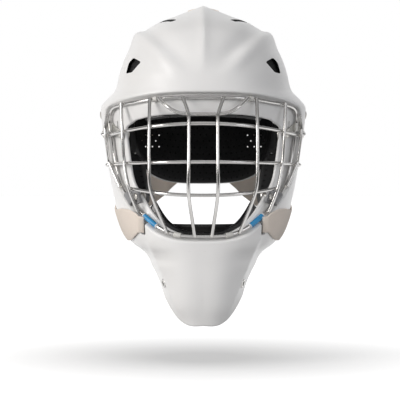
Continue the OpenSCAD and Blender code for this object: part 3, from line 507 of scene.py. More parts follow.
def band_weave():
    """Ribs along and threads across a band, from its own UV map, and the painted shade of their grooves."""
    tree, n, given, result = new_group(
        "band_weave",
        [("Vector", "Vector", None), ("Ribs", "Float", 30.0), ("Threads", "Float", 160.0)],
        [("Height", "Float"), ("Shade", "Float")],
    )
    parts = n.add("SeparateXYZ", {"Vector": given["Vector"]}).outputs
    rib = n.math("SINE", n.math("MULTIPLY", n.math("MULTIPLY", parts["X"], given["Ribs"]), 2 * math.pi))
    thread = n.math("SINE", n.math("MULTIPLY", n.math("MULTIPLY", parts["Y"], given["Threads"]), 2 * math.pi))
    over = n.math("MULTIPLY", rib, thread)
    height = n.math("ADD", n.math("MULTIPLY", rib, 0.5), n.math("MULTIPLY", over, 0.5))
    n.put(result["Height"], height)
    # Shade is the height spread from 0 in the grooves to 1 on top; woven_band uses it for painted shade in
    # the grooves
    n.put(result["Shade"], n.ramp(height, -1.0, 1.0))
    return tree


def foam_holes():
    """Rows of small round holes from a UV map in mm: 1 in a hole and 0 between them."""
    tree, n, given, result = new_group(
        "foam_holes",
        [("Vector", "Vector", None), ("Pitch", "Float", 8.0), ("Radius", "Float", 0.18)],
        [("Hole", "Float")],
    )
    cell = n.add("VectorMath", {0: given["Vector"]}, operation="DIVIDE")
    pitch = n.add("CombineXYZ", {"X": given["Pitch"], "Y": given["Pitch"], "Z": 1.0})
    n.put(cell.inputs[1], pitch.outputs[0])
    parts = n.add("SeparateXYZ", {"Vector": cell.outputs[0]}).outputs
    row = n.math("FLOOR", parts["Y"])
    odd = n.math("MULTIPLY", n.math("MODULO", row, 2.0), 0.5)
    x = n.math("SUBTRACT", n.math("FRACT", n.math("ADD", parts["X"], odd)), 0.5)
    y = n.math("SUBTRACT", n.math("FRACT", parts["Y"]), 0.5)
    away = n.math("SQRT", n.math("ADD", n.math("MULTIPLY", x, x), n.math("MULTIPLY", y, y)))
    n.put(result["Hole"], n.ramp(away, given["Radius"], n.math("MULTIPLY", given["Radius"], 0.7)))
    return tree


def edge_stitches():
    """Dashes of thread set in from the edges of a piece, from its UV map in mm."""
    stitch_share = 0.62
    tree, n, given, result = new_group(
        "edge_stitches",
        [("Vector", "Vector", None), ("Width", "Float", 100.0), ("Length", "Float", 30.0),
         ("Inset", "Float", 3.0), ("Pitch", "Float", 3.2)],
        [("Stitch", "Float"), ("Channel", "Float")],
    )
    parts = n.add("SeparateXYZ", {"Vector": given["Vector"]}).outputs

    def edge(value, whole):
        return n.math("MINIMUM", value, n.math("SUBTRACT", whole, value))

    def dashes(value):
        return n.math("LESS_THAN", n.math("FRACT", n.math("DIVIDE", value, given["Pitch"])), stitch_share)

    dx, dy = edge(parts["X"], given["Width"]), edge(parts["Y"], given["Length"])
    inner = n.math("SUBTRACT", given["Inset"], 0.4)
    lines = []
    for d, other, value in ((dx, dy, parts["Y"]), (dy, dx, parts["X"])):
        off = n.math("ABSOLUTE", n.math("SUBTRACT", d, given["Inset"]))
        inside = n.math("GREATER_THAN", other, inner)
        lines.append((n.math("MULTIPLY", n.math("MULTIPLY", n.ramp(off, 0.5, 0.3), inside), dashes(value)),
                      n.math("MULTIPLY", n.ramp(off, 1.3, 0.2), inside)))
    n.put(result["Stitch"], n.math("MAXIMUM", lines[0][0], lines[1][0]))
    n.put(result["Channel"], n.math("MAXIMUM", lines[0][1], lines[1][1]))
    return tree


def new_material(name):
    m = bpy.data.materials.new(name)
    m.use_nodes = True
    n = Nodes(m.node_tree)
    bsdf = m.node_tree.nodes["Principled BSDF"].inputs
    return m, n, bsdf


def fill(n, bsdf, values):
    for key, value in values.items():
        n.put(bsdf[key], value)


def shell_paint(name, colour, rough):
    """Semi-gloss white paint over a moulded composite shell."""
    m, n, bsdf = new_material(name)
    where = n.coords()
    grain = n.grain(colour, shade=0.035, cloud_scale=9.0, grain_scale=900.0, grain=0.12)
    specks = n.ramp(n.noise(where, 420.0, 1.0, 0.3), 0.74, 0.80)
    waves = n.noise(where, 38.0)
    rounded = n.add("Bevel", {"Radius": 0.0007}, samples=4).outputs[0]
    height = n.math("ADD", n.math("MULTIPLY", waves, 0.7), n.math("MULTIPLY", grain["Height"], 0.2))
    fill(n, bsdf, {
        "Base Color": n.mix(n.math("MULTIPLY", specks, 0.08), grain["Colour"], (0.45, 0.44, 0.42, 1)),
        "Roughness": n.ramp(grain["Cloud"], 0.3, 0.7, rough, rough + 0.07),
        "Specular IOR Level": 0.42, "Coat Weight": 0.2, "Coat Roughness": 0.25,
        "Normal": n.bump(height, 0.12, 0.0006, rounded),
    })
    return m


def polished_steel(name, colour, rough):
    """Polished wire with faint drawing marks and stains."""
    m, n, bsdf = new_material(name)
    grain = n.grain(colour, shade=0.10, cloud_scale=60.0, grain_scale=1400.0, grain=0.3)
    stain = n.ramp(n.noise(n.coords(), 24.0, 5.0, 0.6), 0.55, 0.75)
    fill(n, bsdf, {
        "Base Color": n.mix(n.math("MULTIPLY", stain, 0.3), grain["Colour"], (0.42, 0.39, 0.36, 1)),
        "Metallic": 1.0, "Roughness": n.ramp(grain["Cloud"], 0.3, 0.7, rough, rough + 0.12),
        "Normal": n.bump(grain["Height"], 0.10, 0.0003),
    })
    return m


def liner_foam(name, colour, pitch):
    """Closed-cell foam sheet with a fine skin and rows of punched holes, which are coloured near black as
    painted shade.
    """
    m, n, bsdf = new_material(name)
    cells = n.add("TexVoronoi", {"Vector": n.coords(), "Scale": 900.0}).outputs["Distance"]
    grain = n.grain(colour, shade=0.4, cloud_scale=30.0, grain_scale=1200.0, grain=0.3)
    hole = n.group(foam_holes, {"Vector": n.coords("UV"), "Pitch": pitch})["Hole"]
    height = n.math("ADD", n.math("MULTIPLY", cells, 0.5), grain["Height"])
    height = n.math("SUBTRACT", height, n.math("MULTIPLY", hole, 6.0))
    # Painted shade: the holes are coloured near black for the dark inside of each hole
    base = n.mix(hole, grain["Colour"], (0.0015, 0.0015, 0.0015, 1))
    fill(n, bsdf, {
        "Base Color": base, "Roughness": n.ramp(cells, 0.0, 0.6, 0.6, 0.8), "Specular IOR Level": 0.25,
        "Normal": n.bump(height, 0.45, 0.0006),
    })
    return m


def woven_band(name, colour, shade, ribs, threads, strength):
    """Woven elastic or webbing, from the band's own UV map, with painted shade in the weave's grooves."""
    m, n, bsdf = new_material(name)
    weave = n.group(band_weave, {"Vector": n.coords("UV"), "Ribs": ribs, "Threads": threads})
    cloud = n.noise(n.coords(), 45.0, 4.0)
    # Painted shade: the grooves of the weave take the darker shade colour and the ribs the band's own colour
    base = n.mix(n.ramp(weave["Shade"], 0.1, 0.9), shade, (*colour, 1))
    worn = n.math("MULTIPLY", n.ramp(cloud, 0.4, 0.75), 0.12)
    fill(n, bsdf, {
        "Base Color": n.mix(worn, base, tuple(c * 0.6 for c in colour) + (1,)),
        "Roughness": n.ramp(cloud, 0.3, 0.7, 0.78, 0.92), "Specular IOR Level": 0.2,
        "Sheen Weight": 0.25, "Sheen Roughness": 0.5,
        "Normal": n.bump(weave["Height"], strength, 0.0004),
    })
    return m


def moulded(name, colour, rough, metal=0.0, shade=0.12, cloud=30.0, grain_scale=800.0, strength=0.1):
    """Moulded plastic or satin metal with a grain."""
    m, n, bsdf = new_material(name)
    grain = n.grain(colour, shade, cloud, grain_scale, grain=0.4)
    fill(n, bsdf, {
        "Base Color": grain["Colour"], "Metallic": metal, "Specular IOR Level": 0.5,
        "Roughness": n.ramp(grain["Cloud"], 0.3, 0.7, rough, rough + 0.1),
        "Normal": n.bump(grain["Height"], strength, 0.0004),
    })
    return m


# Width and length in mm of the outline that the stitches follow
SEAM_SIZE = (100.0, 40.0)


def stitched(name, colour, rough):
    """Soft leatherette with a pebble grain and an edge stitched in grey thread."""
    thread = (0.05, 0.05, 0.052)
    m, n, bsdf = new_material(name)
    grain = n.grain(colour, shade=0.3, cloud_scale=30.0, grain_scale=900.0, grain=0.3)
    pebble = n.add("TexVoronoi", {"Vector": n.coords(), "Scale": 520.0}).outputs["Distance"]
    seam = n.group(edge_stitches, {"Vector": n.coords("UV"), "Width": SEAM_SIZE[0], "Length": SEAM_SIZE[1]})
    height = n.math("SUBTRACT", n.math("MULTIPLY", pebble, 0.5), n.math("MULTIPLY", seam["Channel"], 2.0))
    fill(n, bsdf, {
        "Base Color": n.mix(seam["Stitch"], grain["Colour"], (*thread, 1)),
        "Roughness": n.ramp(grain["Cloud"], 0.3, 0.7, rough, rough + 0.12), "Specular IOR Level": 0.5,
        "Normal": n.bump(n.math("ADD", height, n.math("MULTIPLY", seam["Stitch"], 2.5)), 0.5, 0.0005),
    })
    return m


def two_tone_cover(name, colour, length):
    """Plain cover: a coloured middle between two white ends, from its UV map in mm."""
    white_end = 1.7
    m, n, bsdf = new_material(name)
    x = n.add("SeparateXYZ", {"Vector": n.coords("UV")}).outputs["X"]
    from_middle = n.math("ABSOLUTE", n.math("SUBTRACT", x, length / 2))
    end = n.math("GREATER_THAN", from_middle, length / 2 - white_end)
    grain = n.grain(colour, shade=0.2, cloud_scale=80.0, grain_scale=900.0, grain=0.3)
    fill(n, bsdf, {
        "Base Color": n.mix(end, grain["Colour"], (0.72, 0.73, 0.74, 1)),
        "Roughness": n.ramp(grain["Cloud"], 0.3, 0.7, 0.3, 0.4), "Specular IOR Level": 0.5,
        "Normal": n.bump(grain["Height"], 0.08, 0.0003),
    })
    return m


def floor_paper():
    """White paper floor that keeps the cast shadow, with a painted shadow under the mask: away from the mask
    a camera sees it white where no shadow falls.
    """
    sheet_edge = (-0.7, -0.4)
    m, n, bsdf = new_material("white_paper_floor")
    where = n.add("VectorMath", {0: n.coords()}, operation="MULTIPLY")
    where.inputs[1].default_value = (1, 1, 0)
    away = n.add("VectorMath", {0: where.outputs[0]}, operation="LENGTH").outputs["Value"]
    # The sheet ends in front of the mask, out of the photo's view, where the floor is dark
    sheet = n.ramp(n.add("SeparateXYZ", {"Vector": n.coords()}).outputs["Y"], *sheet_edge)
    path = n.add("LightPath").outputs
    mirrored = n.math("MAXIMUM", path["Is Glossy Ray"], path["Is Transmission Ray"])
    seen = n.math("MAXIMUM", path["Is Camera Ray"], n.math("MULTIPLY", mirrored, sheet))
    fibres = n.noise(n.coords(), 300.0)
    paper = n.mix(n.ramp(fibres, 0.3, 0.7, 0.0, 0.02), (0.45, 0.45, 0.45, 1), (0.32, 0.32, 0.32, 1))
    fill(n, bsdf, {
        "Base Color": n.mix(sheet, (0.08, 0.08, 0.08, 1), paper),
        "Roughness": 0.9, "Specular IOR Level": 0.1,
        "Emission Color": (1, 1, 1, 1),
        # Painted shadow: the glow that camera rays see drops to 0.34 within 5 cm of the middle under the mask
        # and rises to 1 by 40 cm
        "Emission Strength": n.math("MULTIPLY", seen, n.ramp(away, 0.05, 0.40, 0.34, 1.0)),
    })
    return m


# Shell

# Openings of one side, as in the solid shell: (x, z) in the front view and (x, y) in the top view
SIDE_VENT = [(-78.3, 94.6), (-69.3, 89), (-79.8, 77.6), (-86.8, 77), (-83.8, 89)]
TOP_VENT = [(-30, -58), (-36, -60), (-51, -35), (-44, -31)]
# Places (s, t) of the slot beside the upper clip and of the throat guard eyelet
CLIP_SLOT = (5.35, -0.42)
EYELET = (12, 0.72)
# Upper and lower clip: place s, place t and thickness; they stand clear of the flange by the lift
CLIPS = ((5.58, -0.62, 2.0), (8.95, -0.72, 2.4))
CLIP_LIFT = 0.9
# Share of the flange's reach that is left out at the sides of the face opening
SIDE_TRIM = 0.2
# Chin snap as (y, z), and strap rivets of one side with the middle one last
SNAP = (-40.0, -88.0)
SHELL_RIVETS = [(113.5, 31, 32), (113.5, 31, 11), (0, 14, 155)]
# Middle of the jaw strap's slot, and a point further back on the same level
JAW_SLOT = [(67.5, -103, -93), (71, -99, -93)]


def normal_at(s, t):
    d = way(s, t)
    return skin_normal(HUB + d * skin_reach(d)[..., None])


def eyelet_frame():
    d = way(*EYELET)
    middle = (sunk(d, 0.0, 1.0) + sunk(d, WALL)) / 2
    return surface_frame(middle, normal_at(*EYELET), (0, 0, 1))


def clip_frame(s, t):
    seat, n = at(s, t, flange_depth(t)), normal_at(s, t)
    return surface_frame(seat, n, np.cross(rim_point(s) - seat, n))


def flange_reach(s):
    """Share of the flange that is left at place s: the photo's opening is wider at the sides."""
    side = np.minimum(s, 2 * HALF - s)
    return 1 - SIDE_TRIM * ease((side - 4.0) / 1.3) * ease((9.7 - side) / 1.5)


def shell_rows(flange, outer, reach):
    """Profile of the shell: rows of (t, depth, share of the moulded forms) for each column."""
    rows = []

    def row(t, depth, form=0.0):
        rows.append((t + 0 * flange, depth + 0 * flange, form))

    # Radii of the free edges, of the corner between flange and lip, and of the lip itself
    r, fillet, lip = WALL / 2, 2.0, 2.4
    lip_wall = 0.5
    for a in np.radians(np.linspace(90, -90, 9)):
        row(-reach + r * (1 - math.cos(a)) / flange, flange_depth(-reach) + r + r * math.sin(a))
    for f in np.linspace(0, 1, 9)[1:-1]:
        t = (-reach + r / flange) * (1 - f) - f * (lip_wall + fillet) / flange
        row(t, flange_depth(t))
    for a in np.radians(np.linspace(0, 90, 6)):
        t = -(lip_wall + fillet * (1 - math.sin(a))) / flange
        row(t, flange_depth(t) - fillet * (1 - math.cos(a)))
    row(-0.3 / flange, 4.4, 0.2)
    for a in np.radians(np.linspace(0, 90, 8)):
        row(lip * (1 - math.cos(a)) / outer, lip * (1 - math.sin(a)), 0.35 + 0.65 * math.sin(a))
    for f in np.linspace(0, 1, 88)[1:-1]:
        row((lip / outer) * (1 - f) + f * (1 - r / outer), 0.0, 1.0)
    for a in np.radians(np.linspace(-90, 90, 9)):
        row(1 - r * (1 - math.cos(a)) / outer, r + r * math.sin(a), 0.5 - 0.5 * math.sin(a))
    for f in np.linspace(0, 1, 30)[1:]:
        row((1 - r / outer) * (1 - f) + f * STEP_END, WALL)
    for t in (0.055, 0.04, 0.022, 0.0):
        row(t, inside_depth(t))
    for f in np.linspace(0, 1, 8)[1:-1]:
        t = f * (-reach + r / flange)
        row(t, inside_depth(t))
    t, depth, form = (np.array(part) for part in zip(*rows))
    return t, depth, form[:, None] + 0 * t


def shell_surface():
    columns = 400
    s = np.arange(columns + 1) * 2 * HALF / columns
    flange, outer = lengths(s)
    t, depth, form = shell_rows(flange, outer, flange_reach(s))
    t, depth, form = (np.concatenate([a, a[:1]]) for a in (t, depth, form))
    grid = sunk(way(s[None] + 0 * t, t), depth, form)
    bm = bmesh.new()
    mapped_grid(bm, np.arange(columns + 1), np.arange(len(t)), lambda i, j: grid[j, i])
    bmesh.ops.remove_doubles(bm, verts=bm.verts, dist=0.002)
    return bm


def prism(bm, outline, place, height, corner):
    """Prism over an outline, with its corners rounded, moved by the matrix place."""
    verts = [bm.verts.new((x, y, 0)) for x, y in outline]
    face = bm.faces.new(verts)
    up = bmesh.ops.extrude_face_region(bm, geom=[face])
    top = [v for v in up["geom"] if isinstance(v, bmesh.types.BMVert)]
    bmesh.ops.translate(bm, vec=(0, 0, height), verts=top)
    every = verts + top
    walls = [e for e in bm.edges if e.verts[0] in every and e.verts[1] in every
             and abs(e.verts[0].co.z - e.verts[1].co.z) > height / 2]
    made = bmesh.ops.bevel(bm, geom=walls, offset=corner, segments=4, profile=0.5,
                           affect="EDGES", material=-1)
    every = list({v for f in made["faces"] for v in f.verts} | {v for v in every if v.is_valid})
    bmesh.ops.transform(bm, matrix=place, verts=every)


def drum(bm, radius, length, place):
    made = bmesh.ops.create_cone(bm, cap_ends=True, segments=40, radius1=radius, radius2=radius,
                                 depth=length)
    bmesh.ops.transform(bm, matrix=place, verts=made["verts"])


def box(bm, size, place, corner):
    """Box with rounded edges, moved by the matrix place."""
    made = bmesh.ops.create_cube(bm, size=1.0)["verts"]
    bmesh.ops.scale(bm, vec=size, verts=made)
    edges = list({e for v in made for e in v.link_edges})
    out = bmesh.ops.bevel(bm, geom=edges, offset=corner, segments=3, profile=0.5,
                          affect="EDGES", material=-1)
    bmesh.ops.transform(bm, matrix=place, verts=list({v for f in out["faces"] for v in f.verts}))


def mirror_copy(bm):
    """Adds the mirror image over the middle plane of all that is in the bmesh."""
    made = bmesh.ops.duplicate(bm, geom=bm.verts[:] + bm.edges[:] + bm.faces[:])["geom"]
    verts = [g for g in made if isinstance(g, bmesh.types.BMVert)]
    bmesh.ops.scale(bm, vec=(-1, 1, 1), verts=verts)
    bmesh.ops.reverse_faces(bm, faces=[g for g in made if isinstance(g, bmesh.types.BMFace)])


def vent_cutters(material):
    """Prisms of the four vents; the side ones run forwards and the top ones upwards."""
    corner = 1.8
    bm = bmesh.new()
    forwards = Matrix.Translation((0, -45, 0)) @ Matrix.Rotation(math.pi / 2, 4, "X")
    prism(bm, SIDE_VENT, forwards, 75, corner)
    prism(bm, TOP_VENT, Matrix.Translation((0, 0, 110)), 55, corner)
    mirror_copy(bm)
    return finish_piece("vent_cutters", bm, material, None)


def shell_cutters(material):
    """Slots and holes of the shell, as one mesh of separate closed bodies."""
    corner, snap_hole, eyelet_hole = 1.2, 3.0, 3.4
    bm = bmesh.new()
    p = at(*CLIP_SLOT, flange_depth(CLIP_SLOT[1]))
    box(bm, (13, 3, 16), surface_frame(p, normal_at(*CLIP_SLOT), (0, 0, 1)), corner)
    # The jaw strap's slot goes through the wall only, and clear of the cage flange behind it
    a, b = skin_point(JAW_SLOT[0]), skin_point(JAW_SLOT[1])
    slot = surface_frame(a, skin_normal(a), b - a) @ Matrix.Translation((0.75, 0, 4))
    box(bm, (8.5, NOSE_W + 2, 22), slot, corner)
    drum(bm, snap_hole, 40, Matrix.Translation((95, *SNAP)) @ Matrix.Rotation(math.pi / 2, 4, "Y"))
    drum(bm, eyelet_hole, 20, eyelet_frame())
    mirror_copy(bm)
    return finish_piece("slot_cutters", bm, material, None)


def cut(piece, cutter, solver="EXACT"):
    """Cuts the cutter's bodies out of the piece and removes the cutter."""
    modifier = piece.modifiers.new("cut", "BOOLEAN")
    modifier.operation = "DIFFERENCE"
    modifier.solver = solver
    modifier.material_mode = "TRANSFER"
    modifier.object = cutter
    bpy.context.view_layer.update()
    mesh = bpy.data.meshes.new_from_object(piece.evaluated_get(bpy.context.evaluated_depsgraph_get()))
    old, piece.data = piece.data, mesh
    piece.modifiers.clear()
    mesh.name = old.name
    bpy.data.meshes.remove(old)
    bpy.data.objects.remove(cutter)


# Cage

# Level wires: height in the middle, rise at the side, x of that rise, whether it hooks round the shell
LEVELS = [(19.5, -13, 113, True), (-22.3, -2.5, 110, True), (-58.8, 6.8, 79, False)]
# Upright wires: x on the rim's top, on the three level wires and on the rim's bottom
UPRIGHTS = [(22.1, 15.5, 15.5, 15.5, 9.1), (57.2, 57.1, 56.8, 54.6, 38.6), (88.9, 87, 84.6, 79.2, 70)]
CORNER_X = 106.5
# Brow wire from its end on the rim to the middle, as (x, z)
BROW = [(48, 0), (39.2, 38.1), (29.2, 32.2), (18.4, 30.3), (0, 30)]
# The rim wire lies in the recess, this deep under the skin and this far in from the lip
RIM_DEPTH = RECESS - WIRE_R - 1
RIM_INSET = 4.8
# Stretches of the rim where one x or z names one place s: along the top, the side and the bottom
RIM_TOP, RIM_SIDE, RIM_LOW = (0, 4.9), (5, 9), (8.6, HALF)
# Sleeves on the rim wire: place s and length; and the two ends of the blue cover
SLEEVES = [(2.08, 4.6), (12.2, 8.0)]
COVER = (9.97, 10.88)


def rim_row(s):
    lip, inner = loop_at(LIP, s), loop_at(INNER, s)
    return -RIM_INSET / np.linalg.norm(skin_point(lip) - skin_point(inner), axis=-1)


def rim_point(s):
    return at(s, rim_row(s), RIM_DEPTH + 0 * np.asarray(s, float))


def on_rim(s, layers):
    return rim_point(s) + normal_at(s, rim_row(s)) * LAYER * layers


def place_on_rim(value, axis, low, high):
    """Place s on the rim wire where one coordinate has the value, between two places."""
    s = np.linspace(low, high, 400)
    v = rim_point(s)[:, axis]
    order = np.argsort(v)
    return float(np.interp(value, v[order], s[order]))


def cage_lines():
    """Middle lines of the wires and places of the welds; uprights and welds are of one side."""
    top, bottom = rim_point(0.0), rim_point(float(HALF))

    def top_point(x, layers=1):
        return on_rim(place_on_rim(x, 0, *RIM_TOP), layers)

    def low_point(x, layers=1):
        return on_rim(place_on_rim(x, 0, *RIM_LOW), layers)

    def level_z(k, x):
        return LEVELS[k][0] + LEVELS[k][1] * (x / LEVELS[k][2]) ** 2

    def cage_front(z):
        q = (z - bottom[2]) / (top[2] - bottom[2])
        return LAYER - (bottom[1] + (top[1] - bottom[1]) * q) + 20 * (1 - (2 * q - 1) ** 2)

    side_s = [place_on_rim(level_z(k, 104), 2, *RIM_SIDE) for k in range(3)]
    sides = [on_rim(s, 1) for s in side_s]

    def level_point(k, x):
        z = level_z(k, x)
        f = cage_front(z)
        return np.array([x, -f + (f + sides[k][1]) * (abs(x) / sides[k][0]) ** 3, z])

    def crossing(k, x):
        d = level_point(k, x + 1) - level_point(k, x - 1)
        return level_point(k, x) + LAYER * unit([d[1], -d[0], 0])

    def brow_y(x):
        return top_point(x, 0)[1] * 0.35 + level_point(0, x)[1] * 0.65

    levels = []
    for k in range(3):
        reach = sides[k][0] * 0.9 if LEVELS[k][3] else UPRIGHTS[2][3] + WIRE_R
        half = [level_point(k, reach * f / 6) for f in range(1, 7)]
        if LEVELS[k][3]:
            hook = at(side_s[k], 0.015, -WIRE_R - 1.6), at(side_s[k], 0.09, -WIRE_R - GAP - 0.5)
            half += [sides[k], *hook]
        levels.append(smooth_curve([p * MIRROR for p in half[::-1]] + [level_point(k, 0)] + half))
    brow_half = [top_point(BROW[0][0])] + [np.array([x, brow_y(x), z]) for x, z in BROW[1:4]]
    brow_middle = np.array([0, brow_y(0), BROW[4][1]])
    brow = smooth_curve(brow_half + [brow_middle] + [p * MIRROR for p in brow_half[::-1]])
    uprights, welds = [], []
    for w in UPRIGHTS:
        knots = [top_point(w[0])]
        if w == UPRIGHTS[0]:
            x, z = BROW[3]
            knots.append(np.array([x - 2, brow_y(x) - LAYER, z + 0.5]))
        first = len(knots)
        knots += [crossing(0, w[1]), crossing(1, w[2]), crossing(2, w[3]), low_point(w[4])]
        uprights.append(smooth_curve(knots))
        welds += [(knots[first + k] + level_point(k, w[k + 1])) / 2 for k in range(3)]
        welds += [(knots[0] + top_point(w[0], 0)) / 2, (knots[-1] + low_point(w[4], 0)) / 2]
    corner_end = 8.3
    uprights.append(smooth_curve([
        top_point(CORNER_X), on_rim(5.55, 1.75), on_rim(side_s[0], 2), on_rim(7.0, 2.1),
        on_rim(side_s[1], 2), on_rim(corner_end, 1),
    ]))
    welds += [on_rim(s, 1.5) for s in side_s[:2]]
    welds += [on_rim(s, 0.5) for s in (*side_s[:2], corner_end)]
    rim_points = 336
    rim = rim_point(np.arange(rim_points) * 2 * HALF / rim_points)
    return {"rim": rim, "levels": levels, "brow": brow, "uprights": uprights, "welds": welds}


# Liner, backplate and straps

# Backplate: height of its middle, height, width, depth under the skin, thickness, squareness
PLATE_MID, PLATE_H, PLATE_W, PLATE_SINK, PLATE_T = 40.0, 178.0, 184.0, 3.0, 3.2
PLATE_EDGE = 3.4
# Width and thickness of the jaw strap, its width at the front end, and the other straps' width
STRAP_W, STRAP_T, NOSE_W = 38.0, 2.0, 19.0
BAND_W = STRAP_W - 2
# Height of a strap's inner face over the skin, on the shell and on the backplate
SHELL_LOW, PLATE_LOW = GAP + 0.3, GAP + 0.2 - PLATE_SINK
# The liner's columns are those of a shell grid of 64 columns round the mask
COLUMN = 2 * HALF / 64


def back_point(x, z):
    """Point of the skin's rear at x and a height z."""
    half, _, rear, n = stations_at(np.asarray(z, float), (1, 2, 3, 4))
    y = rear * np.maximum(1 - (np.abs(x) / half) ** n, 0) ** (1 / n)
    return np.stack(np.broadcast_arrays(x, y, z), -1)


def plate_point(u, v, depth):
    """Point of the backplate at shares u and v of its half width and half height."""
    side = u * 0.985
    x = PLATE_W / 2 * side
    z = PLATE_MID + PLATE_H / 2 * v * (1 - np.abs(side) ** PLATE_EDGE) ** (1 / PLATE_EDGE)
    return sunk(toward(back_point(x, z)), depth)


def side_x(y, z):
    """Half width of the skin at a depth y and a height z."""
    half, front, rear, n = stations_at(np.asarray(float(z)), (1, 2, 3, 4))
    return float(half * (1 - (abs(y) / (front if y < 0 else rear)) ** n) ** (1 / n))


def run_length(points):
    return float(np.linalg.norm(np.diff(points, axis=0), axis=1).sum())


def liner_pad(name, columns, rows, thick, material, radius=5.0, pitch=2.5, edge=0.55):
    """Crowned pad on the inside of the shell, over columns and rows of the shell's grid.

    radius is its rounding and pitch its mesh size in mm, and edge its share of the thickness there.
    """
    s0, s1 = columns[0] * COLUMN, columns[1] * COLUMN
    t0, t1 = rows
    ts, ss = np.linspace(t0, t1, 25), np.linspace(s0, s1, 25)
    mid_s, mid_t = (s0 + s1) / 2, (t0 + t1) / 2
    size = (run_length(at(ss, mid_t + 0 * ss, inside_depth(mid_t) + 0 * ss)),
            run_length(at(mid_s + 0 * ts, ts, inside_depth(ts))))

    def face(lift):
        def place(s, t):
            side = 1 - np.abs(2 * (s - s0) / (s1 - s0) - 1) ** 4
            end = 1 - np.abs(2 * (t - t0) / (t1 - t0) - 1) ** 4
            crown = edge + (1 - edge) * np.sqrt(side * end)
            return at(s, t, inside_depth(t) + GAP + lift * thick * crown)
        return place

    us = spread(s0, s1, int(size[0] / pitch), radius / size[0] * (s1 - s0), 4)
    vs = spread(t0, t1, int(size[1] / pitch), radius / size[1] * (t1 - t0), 4)
    bm = bmesh.new()
    pillow(bm, us, vs, face(1.0), face(0.0), size, radius)
    piece = finish_piece(name + "_pad", bm, material, "mask", [name])


# Straps: each route has points near the shell, points in the open and points near the backplate

STRAP_ACROSS = spread(-0.5, 0.5, 15, 1.0 / STRAP_W, 3)
JAW_ROUTE = [
    (67.5, -103, -93), (70.6, -99, -91.4), (74.6, -94, -90.2), (80, -85, -90.4), (86, -68, -92.4),
    (91, -48, -94), (94, -25, -94.5), (96, -2, -93), (97, 20, -91), (97, 40, -88), (93.5, 62, -82.5),
]
JAW_FREE = [(88, 80, -74), (77, 100, -63)]
JAW_PLATE = [tuple(back_point(PLATE_W * a, PLATE_MID - PLATE_H * b)) for a, b in
             ((0.33, 0.5), (0.285, 0.452), (0.24, 0.41))]
JAW_RIVET = (back_point(PLATE_W * 0.32, PLATE_MID - PLATE_H * 0.427)
             + back_point(PLATE_W * 0.266, PLATE_MID - PLATE_H * 0.4)) / 2
SIDE_ROUTE = [(114, 24, 22), (113, 38, 21.5), (110, 54, 20.5), (107, 72, 19.5)]
SIDE_FREE = [(99, 90, 18.5)]
SIDE_PLATE = [tuple(back_point(PLATE_W / 2 - d, 18)) for d in (4, 12, 21, 30)]
CROWN_ROUTE = [(0, 6, 155), (0, 17, 154.7), (0, 28, 154.3), (0, 37, 153.8), (0, 45, 153)]
PLATE_TOP = PLATE_MID + PLATE_H / 2
CROWN_PLATE = [tuple(back_point(0, PLATE_TOP - d)) for d in (-GAP, 6, 15, 25)]
CROWN_SAG = 2.5
PLATE_RIVETS = [
    back_point(PLATE_W / 2 - 25, 28), back_point(PLATE_W / 2 - 25, 8), JAW_RIVET,
    back_point(0, PLATE_TOP - 20),
]


def strap_faces(points, widths, lows, forms):
    """Outer and inner face of a strap on the skin: an array of rows, 2 faces and points across."""
    on = skin_point(points)
    across = unit(np.cross(skin_normal(on), unit(np.gradient(on, axis=0))))
    d = toward(on[:, None] + across[:, None] * (widths[:, None] * STRAP_ACROSS)[..., None])
    low, form = lows[:, None] + 0 * STRAP_ACROSS, forms[:, None] + 0 * STRAP_ACROSS
    return np.stack([sunk(d, -low - STRAP_T, form), sunk(d, -low, form)], 1)


def band_mesh(bm, faces, widths):
    """Closed strap between its two faces, with round edges and ends and a UV map in mm."""
    mid = faces.mean(1, keepdims=True)
    line = mid[:, 0, len(STRAP_ACROSS) // 2]
    run = np.concatenate([[0], np.cumsum(np.linalg.norm(np.diff(line, axis=0), axis=1))])
    end = rounding(np.minimum(run, run[-1] - run), STRAP_T / 2)
    edge = rounding(widths[:, None] * (0.5 - np.abs(STRAP_ACROSS)), STRAP_T / 2)
    faces = mid + (faces - mid) * (end[:, None] * edge)[:, None, :, None]
    ring = np.concatenate([faces[:, 0], faces[:, 1, ::-1], faces[:, 0, :1]], 1)
    x = (STRAP_ACROSS + 0.5)[None] * widths[:, None]
    x = np.concatenate([x, x[:, ::-1], x[:, :1]], 1)
    uv = np.stack([x, run[:, None] + 0 * x], -1)
    mapped_grid(bm, np.arange(ring.shape[0]), np.arange(ring.shape[1]), lambda i, j: ring[i, j], uv)
    bmesh.ops.remove_doubles(bm, verts=bm.verts, dist=0.002)


def routed_strap(route, free, plate, nose=False):
    """Faces and widths of a strap over the shell, then free, then over the backplate."""
    knots = np.array(list(route) + list(free) + list(plate), float)
    n, a, b = len(knots), len(route), len(route) + len(free)
    index = np.arange(n)
    widths = np.full(n, BAND_W)
    lows = np.where(index < a, SHELL_LOW, np.where(index < b, -0.5, PLATE_LOW))
    if nose:
        # The jaw strap starts narrow in its slot and widens over the next three points
        widths = NOSE_W + (STRAP_W - NOSE_W) * np.clip((index - 1) / 3, 0, 1)
        lows[0] = -WALL * 0.8
    forms = np.where(lows > 0, 1.0, 0.0)
    ts = spread(0, n - 1, 7 * (n - 1) + 1, 0.12, 3)
    widths, lows, forms = (np.interp(ts, index, v) for v in (widths, lows, forms))
    return strap_faces(along_knots(knots, ts), widths, lows, forms), widths


def crown_flat():
    """Start, run and up direction of the flat stretch of the crown strap."""
    start, end = skin_point(CROWN_ROUTE[-1]), skin_point(CROWN_PLATE[0])
    return start, end - start, unit(np.cross([1, 0, 0], end - start))


